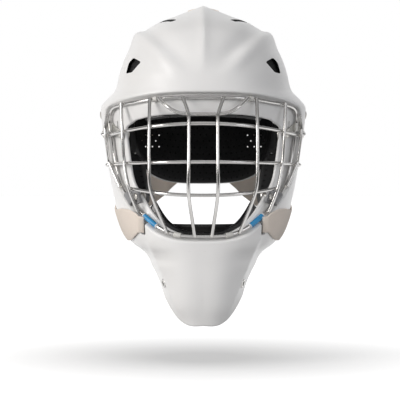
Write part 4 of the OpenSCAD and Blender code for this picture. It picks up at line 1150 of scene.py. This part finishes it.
def crown_strap_faces():
    """Faces and widths of the crown strap, which runs flat under the keeper."""
    def part(points, low, form):
        n = len(points)
        return strap_faces(np.array(points, float), np.full(n, BAND_W), np.full(n, low), np.full(n, form))

    first, last = part(CROWN_ROUTE, SHELL_LOW, 1.0), part(CROWN_PLATE, PLATE_LOW, 0.0)
    start, run, up = crown_flat()
    flat = []
    for t in (0.22, 0.78):
        c = start + run * t - up * CROWN_SAG
        row = c - np.outer(STRAP_ACROSS * BAND_W, [1, 0, 0])
        flat.append(np.stack([row + up * STRAP_T / 2, row - up * STRAP_T / 2]))
    knots = np.concatenate([first, flat, last])
    ts = spread(0, len(knots) - 1, 7 * (len(knots) - 1) + 1, 0.12, 3)
    return along_knots(knots, ts), np.full(len(ts), BAND_W)


def rivet_frame(p, sink):
    """Matrix of a rivet that stands on the skin near p, or sunk under it."""
    q = skin_point(p)
    n = skin_normal(q)
    return surface_frame(q - n * sink, n, (0, 0, 1))


def dome(radius, height, base):
    """Profile of a low dome from its rim up to its middle."""
    a = np.linspace(0, math.pi / 2, 8)[:-1]
    return [(radius * math.cos(x), base + height * math.sin(x)) for x in a] + [(0.0, base + height)]


def rivet(bm, place, through):
    """Adds a rivet whose shank goes through a wall and whose head lies on the strap."""
    shank, head = 2.0, 4.5
    top = STRAP_T + 3 * GAP + 0.2
    profile = [(0, -through), (shank - 0.4, -through), (shank, -through + 0.4), (shank, top),
               (head - 0.3, top), (head, top + 0.25)]
    lathe(bm, profile + dome(head - 0.1, 1.2, top + 0.4), place)


# Settings and operators

class GoalieMaskLooks(bpy.types.PropertyGroup):
    """Colours and surface sizes of the mask."""

    shell_colour: bpy.props.FloatVectorProperty(
        name="Shell colour", description="Paint of the shell and the backplate", subtype="COLOR", size=3,
        min=0, max=1, default=(0.86, 0.855, 0.85))
    shell_rough: bpy.props.FloatProperty(
        name="Shell roughness", description="Roughness of the shell paint", subtype="FACTOR", min=0, max=1,
        default=0.3)
    foam_colour: bpy.props.FloatVectorProperty(
        name="Foam colour", description="Colour of the liner foam", subtype="COLOR", size=3, min=0, max=1,
        default=(0.02, 0.02, 0.021))
    hole_pitch: bpy.props.FloatProperty(
        name="Foam hole pitch", description="Distance in millimetres between the holes in the liner foam",
        min=4, max=20, default=8.0)
    strap_colour: bpy.props.FloatVectorProperty(
        name="Strap colour", description="Colour of the elastic straps", subtype="COLOR", size=3,
        min=0, max=1, default=(0.93, 0.83, 0.74))
    cover_colour: bpy.props.FloatVectorProperty(
        name="Rim cover colour", description="Colour of the covers on the lower rim wire",
        subtype="COLOR", size=3, min=0, max=1, default=(0.03, 0.30, 0.62))
    steel_rough: bpy.props.FloatProperty(
        name="Wire roughness", description="Roughness of the polished cage wire", subtype="FACTOR",
        min=0, max=1, default=0.14)


class GoalieMaskStage(bpy.types.PropertyGroup):
    """Floor, lamps and camera."""

    floor_z: bpy.props.FloatProperty(
        name="Floor height", description="Height of the floor under the mask", unit="LENGTH", default=-0.249)
    eye_distance: bpy.props.FloatProperty(
        name="Camera distance", description="Distance of the camera in front of the mask", unit="LENGTH",
        default=2.2)
    eye_height: bpy.props.FloatProperty(
        name="Camera height", description="Height of the camera", unit="LENGTH", default=-0.029)
    key_power: bpy.props.FloatProperty(
        name="Key power", description="Power of the lamp on the left", unit="POWER", min=0, default=27.0)
    fill_power: bpy.props.FloatProperty(
        name="Fill power", description="Power of the lamp on the right", unit="POWER", min=0, default=5.0)
    top_power: bpy.props.FloatProperty(
        name="Top power", description="Power of the lamp over the mask", unit="POWER", min=0, default=1.2)
    back_power: bpy.props.FloatProperty(
        name="Back power", description="Power of the lamp behind the mask", unit="POWER", min=0, default=11.0)
    room: bpy.props.FloatProperty(
        name="Front level", description="Level of the large soft light in front of the mask",
        min=0, max=2, default=0.80)
    sides: bpy.props.FloatProperty(
        name="Side level", description="Level of the light that comes from the sides of the room",
        min=0, max=2, default=0.24)


def looks():
    return bpy.context.scene.goalie_mask_looks


class PieceOperator:
    """Shared run of the operators: each has its own build"""

    bl_options = {"REGISTER", "UNDO"}

    def execute(self, context):
        self.build(context)
        return {"FINISHED"}


class GOALIEMASK_OT_shell(PieceOperator, bpy.types.Operator):
    """Build the moulded shell with its recess, vents and slots"""

    bl_idname = "goalie_mask.shell"
    bl_label = "Shell"

    def build(self, context):
        paint = shell_paint("white_shell_paint", looks().shell_colour, looks().shell_rough)
        piece = finish_piece("shell", shell_surface(), paint, None)
        # The vent walls are coloured near black: painted shade that makes the vents read dark
        cut(piece, vent_cutters(moulded("vent_wall_painted_shade", (0.02, 0.02, 0.02), rough=0.6)))
        cut(piece, shell_cutters(paint))
        piece.data.shade_smooth()
        piece.data.set_sharp_from_angle(angle=math.radians(50))
        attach(piece, "mask")
        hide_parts("mask_shell")


class GOALIEMASK_OT_cage(PieceOperator, bpy.types.Operator):
    """Build the wires of the cage with their welds"""

    bl_idname = "goalie_mask.cage"
    bl_label = "Cage wires"

    def build(self, context):
        steel = polished_steel("polished_cage_wire", (0.57, 0.56, 0.55), looks().steel_rough)
        weld_radius = WIRE_R
        lines = cage_lines()
        both = [run for line in lines["uprights"] for run in both_sides(line)]
        for name, runs, closed in (
            ("cage_rim_wire", [lines["rim"]], True), ("cage_horizontal_wires", lines["levels"], False),
            ("cage_brow_wire", [lines["brow"]], False), ("cage_vertical_wires", both, False),
        ):
            bm = bmesh.new()
            wires_mesh(bm, runs, WIRE_R, closed)
            finish_piece(name + "_run", bm, steel, "mask", [name], angle=60)
        weld = moulded("welded_joints", (0.55, 0.53, 0.50), 0.32, 1.0, 0.3, 180.0, 1500.0, 0.3)
        bm = bmesh.new()
        for p in lines["welds"]:
            for q in both_sides([p]):
                made = bmesh.ops.create_icosphere(bm, subdivisions=2, radius=weld_radius)["verts"]
                bmesh.ops.translate(bm, vec=q[0], verts=made)
        finish_piece("cage_welds", bm, weld, "mask", ())


def dressed_copy(name, material, body, width=0.35, segments=2, angle=30):
    """Copy of a CAD node with its edges softened, which replaces it."""
    bm = bmesh.new()
    bm.from_mesh(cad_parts[name].data)
    bmesh.ops.remove_doubles(bm, verts=bm.verts, dist=0.000005)
    bmesh.ops.scale(bm, vec=(1000,) * 3, verts=bm.verts)
    bmesh.ops.dissolve_limit(bm, angle_limit=math.radians(1), verts=bm.verts, edges=bm.edges)
    piece = finish_piece(name + "_part", bm, material, body, [name], angle=angle)
    modifier = piece.modifiers.new("soft_edges", "BEVEL")
    modifier.width = width * MM
    modifier.segments = segments
    modifier.limit_method = "ANGLE"
    modifier.angle_limit = math.radians(angle)
    modifier.harden_normals = True
    return piece


def tube_on_rim(bm, first, last):
    """Adds a tube round the rim wire between two places, with round edges and a UV map in mm."""
    bore, outside, steps = WIRE_R + 0.15, 2.85, 14
    length = float(np.linalg.norm(rim_point(last) - rim_point(first)))
    edge = 0.25 / length
    run = np.concatenate([[0, 0, edge * 0.3], np.linspace(edge, 1 - edge, steps), [1 - edge * 0.3, 1, 1, 0]])
    rise = [bore, outside - 0.3, outside - 0.09]
    radius = np.array(rise + [outside] * steps + rise[::-1] + [bore])
    s = first + (last - first) * run
    heading = unit(rim_point(s + 0.05) - rim_point(s - 0.05))
    side = unit(np.cross(heading, normal_at(s, rim_row(s))))
    up = np.cross(side, heading)
    turn = np.linspace(0, 2 * math.pi, 33)
    ring = np.cos(turn)[None, :, None] * side[:, None] + np.sin(turn)[None, :, None] * up[:, None]
    grid = rim_point(s)[:, None] + ring * radius[:, None, None]
    uv = np.stack(np.broadcast_arrays(run[:, None] * length, turn[None] * outside), -1)
    mapped_grid(bm, run, turn, lambda i, j: grid[i, j], uv)
    bmesh.ops.remove_doubles(bm, verts=bm.verts, dist=0.002)


def clip_screws(steel):
    """Screws of both pairs of clips, with a domed head and a cross recess each."""
    shank, head, cross = 2.0, 4.0, ((4.4, 0.9, 2.4), (0.9, 4.4, 2.4))
    screws, recesses = bmesh.new(), bmesh.new()
    for s, t, thick in CLIPS:
        base = clip_frame(s, t) @ Matrix.Translation((0, 0, CLIP_LIFT + thick))
        tip = -WALL - thick
        profile = [(0, tip), (shank - 0.3, tip), (shank, tip + 0.3), (shank, 0), (head - 0.1, 0),
                   (head, 0.2), (head, 0.7)]
        lathe(screws, profile + dome(head - 0.05, 1.4, 0.8), base)
        for size in cross:
            turn = Matrix.Rotation(math.radians(27), 4, "Z")
            box(recesses, size, base @ turn @ Matrix.Translation((0, 0, 2.4)), 0.2)
    for bm in (screws, recesses):
        mirror_copy(bm)
    piece = finish_piece("cage_clip_screw_set", screws, steel, "mask", ["cage_clip_screws"],
                         40)
    cut(piece, finish_piece("screw_recesses", recesses, steel, None), "MANIFOLD")
    if not piece.data.polygons:
        raise RuntimeError("the recesses took the screws away")
    piece.data.set_sharp_from_angle(angle=math.radians(40))


def clip_nuts(steel):
    """Flanged nuts under the shell's wall, whose collars go up through the holes."""
    top = -WALL - 2 * GAP
    bore, collar, flange, high = 1.9, 3.25, 6, WALL - 0.1
    profile = [(bore, top - 2), (flange - 0.2, top - 2), (flange, top - 1.8), (flange, top - 0.2),
               (flange - 0.2, top), (collar, top), (collar, top + high), (bore, top + high), (bore, top - 2)]
    nuts = bmesh.new()
    for s, t, _ in CLIPS:
        lathe(nuts, profile, clip_frame(s, t))
    mirror_copy(nuts)
    finish_piece("cage_clip_nut_set", nuts, steel, "mask", ["cage_clip_nuts"], 40)


def wire_sleeves(plastic):
    bm = bmesh.new()
    for s, length in SLEEVES:
        per_place = float(np.linalg.norm(rim_point(s + 0.1) - rim_point(s - 0.1))) / 0.2
        tube_on_rim(bm, s - length / 2 / per_place, s + length / 2 / per_place)
    mirror_copy(bm)
    finish_piece("cage_sleeves", bm, plastic, "mask", ["cage_rim_sleeves"], 40)


def rim_covers():
    """Coloured covers on the lower rim wire, in place of the flat tabs beside it."""
    length = float(np.linalg.norm(rim_point(COVER[1]) - rim_point(COVER[0])))
    blue = two_tone_cover("blue_rim_cover", looks().cover_colour, length)
    for side, sign in (("left", 1), ("right", -1)):
        bm = bmesh.new()
        tube_on_rim(bm, *COVER)
        bmesh.ops.scale(bm, vec=(sign, 1, 1), verts=bm.verts)
        tab = "flange_tab_" + side
        finish_piece(tab + "_cover", bm, blue, "mask", [tab], 40)


class GOALIEMASK_OT_fittings(PieceOperator, bpy.types.Operator):
    """Build the clips, screws, nuts, sleeves and covers of the cage"""

    bl_idname = "goalie_mask.fittings"
    bl_label = "Cage fittings"

    def build(self, context):
        steel = moulded("plated_screw_steel", (0.62, 0.60, 0.57), 0.28, 1.0, 0.35, 220.0, 1600.0, 0.2)
        upper = moulded("plated_clip_steel", (0.66, 0.65, 0.62), 0.3, 1.0, 0.3, 160.0, 1200.0, 0.2)
        lower = moulded("grey_clip_plastic", (0.30, 0.30, 0.31), 0.35, 0.0, 0.25, 90.0, 900.0, 0.15)
        for side in ("left", "right"):
            dressed_copy("upper_cage_clip_" + side, upper, "mask")
            dressed_copy("lower_cage_clip_" + side, lower, "mask")
        clip_screws(steel)
        clip_nuts(steel)
        wire_sleeves(moulded("white_wire_sleeve", (0.70, 0.69, 0.66), 0.35, 0.0, 0.2, 120.0, 900.0, 0.2))
        rim_covers()


class GOALIEMASK_OT_liner(PieceOperator, bpy.types.Operator):
    """Build the foam pads, the sweatband and the chin pad"""

    bl_idname = "goalie_mask.liner"
    bl_label = "Liner"

    def build(self, context):
        foam = liner_foam("black_liner_foam", looks().foam_colour, looks().hole_pitch)
        skin = stitched("black_sweat_fabric", (0.006, 0.006, 0.007), 0.22)
        brow, whole = (-7, 7), (0.12, 0.92)
        liner_pad("forehead_foam", brow, (0.12, 0.48), 15, foam)
        liner_pad("crown_foam", brow, (0.52, 0.92), 15, foam)
        for side, sign in (("left", 1), ("right", -1)):
            temple, jaw = sorted((8 * sign, 15.55 * sign)), sorted((15.62 * sign, 20 * sign))
            liner_pad("temple_foam_" + side, temple, whole, 28, foam, edge=0.8)
            liner_pad("jaw_foam_" + side, jaw, whole, 36, foam, edge=0.7)
        liner_pad("sweatband", brow, (-1.13, -0.25), 5, skin, 2.0, pitch=1.5)
        liner_pad("chin_pad", (22.2, 41.8), (-1.6, 0.4), 8, skin, 3.0, pitch=2.2)


# Chin cup: part of a ball between two radii, cut off in front of the ball's middle and at the sides
CUP_MIDDLE = (0, -50, -72)
CUP_OUTER, CUP_INNER = 49.8, 44.2
CUP_CUT, CUP_HALF = 10, 44
CUP_HEIGHTS = (-117.6, -91.4)


def cup_face(radius):
    def place(u, v):
        # Known fault: below z -115 the inner ball's ring is smaller than the cut, and has no place
        ring = np.sqrt(radius ** 2 - (v - CUP_MIDDLE[2]) ** 2)
        wide = np.minimum(np.arccos(CUP_CUT / ring), np.arcsin(np.minimum(CUP_HALF / ring, 1)))
        a = u * wide
        return np.stack([ring * np.sin(a), CUP_MIDDLE[1] - ring * np.cos(a), v], -1)
    return place


def chin_cup_leather():
    leather = stitched("black_chin_leather", (0.012, 0.011, 0.011), 0.42)
    bm = bmesh.new()
    us, vs = spread(-1, 1, 60, 0.06, 4), spread(*CUP_HEIGHTS, 22, 2.4, 4)
    pillow(bm, us, vs, cup_face(CUP_OUTER), cup_face(CUP_INNER), SEAM_SIZE, 3.0)
    cup = finish_piece("chin_cup_leather", bm, leather, "chin_cup", ["chin_cup"])


def chin_webs(x0):
    """Webs from the snaps down to the cup; x0 is the side of the web's inner face at the snap."""
    # Its second colour is the painted shade in the grooves of the weave
    web = woven_band("black_chin_web", (0.016, 0.016, 0.017), (0.006, 0.006, 0.006, 1), 0.5, 0.6, 0.6)
    thick, half, flat, cup_side = 2.0, 9.5, 11.0, 39
    back = np.array([SNAP[0] + 66, SNAP[1] + 101])
    reach = float(np.linalg.norm(back))
    along = np.array([0, -back[0] / reach, -back[1] / reach])
    across = np.array([0, along[2], -along[1]])
    lean = math.atan2(x0 - cup_side, reach - flat)
    slant = math.hypot(reach - flat, x0 - cup_side) + 0.4

    def web_face(low, sign):
        def place(u, v):
            # The end is round about the snap; past the flat stretch the web leans in to the cup
            wide = np.where(u < 0, np.sqrt(np.maximum(half ** 2 - u ** 2, 0)), half)
            over = np.maximum(u - flat, 0)
            bend = np.clip(over / 3, 0, 1) * lean
            x = x0 + low * np.cos(bend) - np.sin(lean) * np.maximum(over - 1.2, 0)
            run = np.minimum(u, flat) + over * math.cos(lean)
            p = np.stack([x, 0 * x, 0 * x], -1) + run[..., None] * along + (wide * v)[..., None] * across
            p = p + np.array([0, *SNAP])
            p[..., 0] *= sign
            return p
        return place

    us, vs = spread(-half, flat + slant, 46, 0.9, 3), spread(-1, 1, 16, 0.09, 3)
    for side, sign in (("left", 1), ("right", -1)):
        bm = bmesh.new()
        pillow(bm, us, vs, web_face(thick, sign), web_face(0.0, sign), (half + flat + slant, 2 * half), 0.9)
        node = "chin_web_" + side
        finish_piece(node + "_band", bm, web, "chin_cup", [node])


def chin_snaps(x0, wall_in, wall_out):
    """Snap posts from the web's inner face at x0 through the shell's wall."""
    steel = moulded("snap_steel", (0.60, 0.59, 0.57), 0.25, 1.0, 0.25, 200.0, 1500.0, 0.15)
    post, head, collar = 2.95, 6, 4.5
    low, seat = x0 - GAP, x0 + 2 + GAP
    end = low + wall_out - x0 - 1.2
    profile = [(0, low - 2), (4.8, low - 1.9), (head - 0.3, low - 1.4), (head, low - 0.7), (head, low - 0.2),
               (head - 0.3, low), (post, low), (post, seat), (collar, seat), (collar, wall_in - 0.4),
               (collar - 0.3, wall_in), (post, wall_in), (post, end - 0.4), (2.5, end), (0, end)]
    bm = bmesh.new()
    lathe(bm, profile, Matrix.Translation((0, *SNAP)) @ Matrix.Rotation(math.pi / 2, 4, "Y"))
    mirror_copy(bm)
    finish_piece("chin_snaps", bm, steel, "mask", ["chin_snap_posts"], 40)


class GOALIEMASK_OT_chin_cup(PieceOperator, bpy.types.Operator):
    """Build the chin cup, its webbing and its snaps"""

    bl_idname = "goalie_mask.chin_cup"
    bl_label = "Chin cup"

    def build(self, context):
        wall_out = side_x(*SNAP)
        wall_in = wall_out - WALL - 1.5
        web_x = wall_in - 10
        chin_cup_leather()
        chin_webs(web_x)
        chin_snaps(web_x, wall_in, wall_out)


def side_straps(elastic):
    """Jaw and side straps of both sides, blended between the mask and the backplate."""
    for name, route, free, plate, nose in (
        ("jaw_strap_", JAW_ROUTE, JAW_FREE, JAW_PLATE, True),
        ("side_strap_", SIDE_ROUTE, SIDE_FREE, SIDE_PLATE, False),
    ):
        faces, widths = routed_strap(route, free, plate, nose)
        for side, sign in (("left", 1), ("right", -1)):
            bm = bmesh.new()
            band_mesh(bm, faces * np.array([sign, 1, 1]), widths)
            o = finish_piece(name + side + "_band", bm, elastic, None, [name + side])
            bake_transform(o)


def crown_strap(elastic):
    bm = bmesh.new()
    band_mesh(bm, *crown_strap_faces())
    o = finish_piece("crown_strap_band", bm, elastic, None, ["crown_strap"])
    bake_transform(o)


def strap_rivets(steel):
    """Rivets of the straps on the shell and on the backplate; the last of each is in the middle."""
    for name, places, sink, through, body in (
        ("shell_strap_rivets", SHELL_RIVETS, 0.0, WALL, "mask"),
        ("plate_strap_rivets", PLATE_RIVETS, PLATE_SINK, PLATE_T, "backplate"),
    ):
        bm = bmesh.new()
        for p in places[:-1]:
            rivet(bm, rivet_frame(p, sink), through)
        mirror_copy(bm)
        rivet(bm, rivet_frame(places[-1], sink), through)
        finish_piece(name + "_set", bm, steel, body, [name], 40)


class GOALIEMASK_OT_straps(PieceOperator, bpy.types.Operator):
    """Build the elastic straps between the shell and the backplate, and their rivets"""

    bl_idname = "goalie_mask.straps"
    bl_label = "Straps"

    def build(self, context):
        # Colour of the painted shade in the grooves of the weave
        shade = tuple(0.92 * c for c in looks().strap_colour) + (1,)
        elastic = woven_band("beige_strap_elastic", looks().strap_colour, shade, 0.8, 1.1, 0.35)
        side_straps(elastic)
        crown_strap(elastic)
        strap_rivets(moulded("rivet_steel", (0.64, 0.62, 0.58), 0.27, 1.0, 0.3, 260.0, 1500.0, 0.15))
        plastic = moulded("black_keeper_plastic", (0.02, 0.02, 0.021), 0.38, 0.0, 0.3, 80.0, 900.0, 0.2)
        dressed_copy("crown_strap_keeper", plastic, "crown_keeper", 0.7, 3)


def plate_face(depth, bulge=0.0, far=0.0):
    """Surface of the backplate at a depth, or at a further one that swells towards its middle."""
    def place(u, v):
        crown = 1 - bulge + bulge * np.sqrt((1 - u ** 4) * (1 - v ** 4))
        return plate_point(u, v, depth + far * crown)
    return place


def air_hole_cutters(radius, material):
    """Drums for three staggered rows of three holes on each side of the backplate."""
    holes = bmesh.new()
    for row in range(3):
        for k in range(3):
            place = Matrix.Translation((70 - 8 * k + (row % 2) * 4, 105, -3 + 7 * row))
            drum(holes, radius, 90, place @ Matrix.Rotation(math.pi / 2, 4, "X"))
    mirror_copy(holes)
    return finish_piece("air_hole_cutters", holes, material, None)


class GOALIEMASK_OT_backplate(PieceOperator, bpy.types.Operator):
    """Build the backplate and its foam lining"""

    bl_idname = "goalie_mask.backplate"
    bl_label = "Backplate"

    def build(self, context):
        size = (PLATE_W, PLATE_H)
        paint = shell_paint("white_backplate_paint", looks().shell_colour, looks().shell_rough)
        bm = bmesh.new()
        inner = PLATE_SINK + PLATE_T
        edge = spread(-1, 1, 96, 0.03, 5), spread(-1, 1, 84, 0.03, 5)
        pillow(bm, *edge, plate_face(PLATE_SINK), plate_face(inner), size, 1.7)
        plate = finish_piece("backplate_curved_shell", bm, paint, None, angle=60)
        foam = liner_foam("black_backplate_foam", looks().foam_colour, looks().hole_pitch)
        bm = bmesh.new()
        edge = spread(-1, 1, 76, 0.05, 4), spread(-1, 1, 70, 0.05, 4)
        pillow(bm, *edge, plate_face(inner + GAP), plate_face(inner + GAP, 0.5, 12.0), size, 5.0)
        pad = finish_piece("backplate_lining", bm, foam, None)
        # The foam closes round its punch, so that its holes are the smaller ones
        for piece, radius in ((plate, 1.7), (pad, 0.8)):
            cut(piece, air_hole_cutters(radius, paint))
            piece.data.set_sharp_from_angle(angle=math.radians(60))
            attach(piece, "backplate")
        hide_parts("backplate_shell")
        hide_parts("backplate_foam")


class GOALIEMASK_OT_eyelets(PieceOperator, bpy.types.Operator):
    """Build the lace eyelets for a throat guard"""

    bl_idname = "goalie_mask.eyelets"
    bl_label = "Throat guard eyelets"

    def build(self, context):
        steel = moulded("plated_eyelet_steel", (0.66, 0.65, 0.63), 0.2, 1.0, 0.2, 240.0, 1500.0, 0.1)
        # Bore radius, half height and thickness of the rolled rim
        r, h, rim = 2.5, 4.0, 0.8
        flare = [(r + 0.35 * (1 - math.cos(a)), h - rim + rim * math.sin(a)) for a in np.linspace(0, 1.4, 5)]
        upper = flare + [(r + 2.1, h), (r + 2.5, h - 0.25), (r + 2.6, h - 0.6), (r + 2.4, h - rim),
                         (r + 0.85, h - rim)]
        profile = upper + [(x, -y) for x, y in upper[::-1]] + [upper[0]]
        bm = bmesh.new()
        lathe(bm, profile, eyelet_frame())
        mirror_copy(bm)
        finish_piece("throat_eyelet_rings", bm, steel, "mask", ["throat_guard_eyelets"], 50)


# Photo: width in pixels, width in metres at the mask's middle, and pixel of the mask's axis
PHOTO_PIXELS, PHOTO_WIDTH = 400, 0.464
PHOTO_AXIS = (203.3, 168)


def linked(name, data):
    o = bpy.data.objects.new(name, data)
    bpy.context.scene.collection.objects.link(o)
    return o


def studio_floor(height):
    bm = bmesh.new()
    bmesh.ops.create_grid(bm, x_segments=24, y_segments=24, size=12.0)
    bmesh.ops.translate(bm, vec=(0, 0, height), verts=bm.verts)
    mesh = bpy.data.meshes.new("studio_floor")
    bm.to_mesh(mesh)
    bm.free()
    floor = linked("studio_floor", mesh)
    mesh.materials.append(floor_paper())


def studio_sky(room, sides):
    """White backdrop behind the mask, a large soft light in front of it, and dim sides."""
    backdrop_glow = 0.35
    world = bpy.data.worlds.new("studio_sky")
    bpy.context.scene.world = world
    world.use_nodes = True
    n = Nodes(world.node_tree)
    world.node_tree.nodes.clear()
    path = n.add("LightPath").outputs
    way_out = n.add("SeparateXYZ", {"Vector": n.coords("Generated")}).outputs
    backdrop = n.ramp(way_out["Y"], 0.35, 0.85)
    front = n.ramp(way_out["Y"], -0.2, -0.7, sides, room)
    shown = n.math("MULTIPLY", path["Is Glossy Ray"], backdrop)
    seen = n.math("MAXIMUM", path["Is Camera Ray"], n.math("MAXIMUM", path["Is Transmission Ray"], shown))
    level = n.math("MAXIMUM", front, n.math("MULTIPLY", backdrop, backdrop_glow))
    background = n.add("Background", {"Color": (1, 1, 1, 1), "Strength": n.math("MAXIMUM", seen, level)})
    n.add("OutputWorld", {"Surface": background.outputs[0]})


def square_lamp(name, place, size, power, colour):
    """Square lamp that faces the middle of the mask."""
    lamp = bpy.data.lights.new(name, "AREA")
    lamp.shape = "RECTANGLE"
    lamp.size = lamp.size_y = size
    lamp.energy = power
    lamp.color = colour
    o = linked(name, lamp)
    o.location = place
    o.rotation_euler = (Vector((0, 0, -0.02)) - Vector(place)).to_track_quat("-Z", "Y").to_euler()
    return o


def photo_camera(distance, height):
    """Camera that sees the mask's axis at the photo's pixel, in the photo's width."""
    camera = bpy.data.cameras.new("photo_camera")
    camera.sensor_width = 36
    camera.lens = 36 * distance / PHOTO_WIDTH
    camera.clip_end = 60
    eye = linked("photo_camera", camera)
    eye.location = (0.0, -distance, height)
    pixel, middle = PHOTO_WIDTH / PHOTO_PIXELS, PHOTO_PIXELS / 2
    aim = Vector(((middle - PHOTO_AXIS[0]) * pixel, 0, height - (middle - PHOTO_AXIS[1]) * pixel))
    eye.rotation_euler = (aim - eye.location).to_track_quat("-Z", "Y").to_euler()
    bpy.context.scene.camera = eye


class GOALIEMASK_OT_stage(PieceOperator, bpy.types.Operator):
    """Set up the floor, the lamps, the sky and the camera"""

    bl_idname = "goalie_mask.stage"
    bl_label = "Stage"

    def build(self, context):
        stage = context.scene.goalie_mask_stage
        context.scene.view_settings.view_transform = "Standard"
        studio_floor(stage.floor_z)
        studio_sky(stage.room, stage.sides)
        square_lamp("key_lamp", (-1.75, -1.2, 0.45), 1.0, stage.key_power, (1.0, 0.97, 0.94))
        square_lamp("fill_lamp", (1.4, -1.6, 0.5), 0.9, stage.fill_power, (0.93, 0.94, 1.0))
        square_lamp("top_lamp", (0.0, 0.0, 1.5), 0.6, stage.top_power, (1.0, 1.0, 1.0))
        # Seen in a gloss, the back lamp would wash out the outline of the crown
        back = square_lamp("back_lamp", (0.0, 2.2, 0.6), 1.2, stage.back_power, (1.0, 1.0, 1.0))
        back.visible_glossy = False
        photo_camera(stage.eye_distance, stage.eye_height)


# In the order in which they run
PIECES = (
    GOALIEMASK_OT_shell, GOALIEMASK_OT_cage, GOALIEMASK_OT_fittings, GOALIEMASK_OT_liner,
    GOALIEMASK_OT_chin_cup, GOALIEMASK_OT_straps, GOALIEMASK_OT_backplate, GOALIEMASK_OT_eyelets,
    GOALIEMASK_OT_stage,
)


class GOALIEMASK_PT_panel(bpy.types.Panel):
    """Buttons that build the mask piece by piece"""

    bl_idname = "GOALIEMASK_PT_panel"
    bl_label = "Goalie Mask"
    bl_space_type = "VIEW_3D"
    bl_region_type = "UI"
    bl_category = "Goalie Mask"

    def draw(self, context):
        layout = self.layout
        for group in (context.scene.goalie_mask_looks, context.scene.goalie_mask_stage):
            for key in group.__annotations__:
                layout.prop(group, key)
        for operator in PIECES:
            layout.operator(operator.bl_idname)


CLASSES = (GoalieMaskLooks, GoalieMaskStage) + PIECES + (GOALIEMASK_PT_panel,)


def register():
    for c in CLASSES:
        bpy.utils.register_class(c)
    bpy.types.Scene.goalie_mask_looks = bpy.props.PointerProperty(type=GoalieMaskLooks)
    bpy.types.Scene.goalie_mask_stage = bpy.props.PointerProperty(type=GoalieMaskStage)


def unregister():
    del bpy.types.Scene.goalie_mask_stage
    del bpy.types.Scene.goalie_mask_looks
    for c in reversed(CLASSES):
        bpy.utils.unregister_class(c)


def main():
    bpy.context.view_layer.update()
    register()
    for piece in PIECES:
        getattr(bpy.ops.goalie_mask, piece.bl_idname.split(".")[1])()


if __name__ == "__main__":
    main()
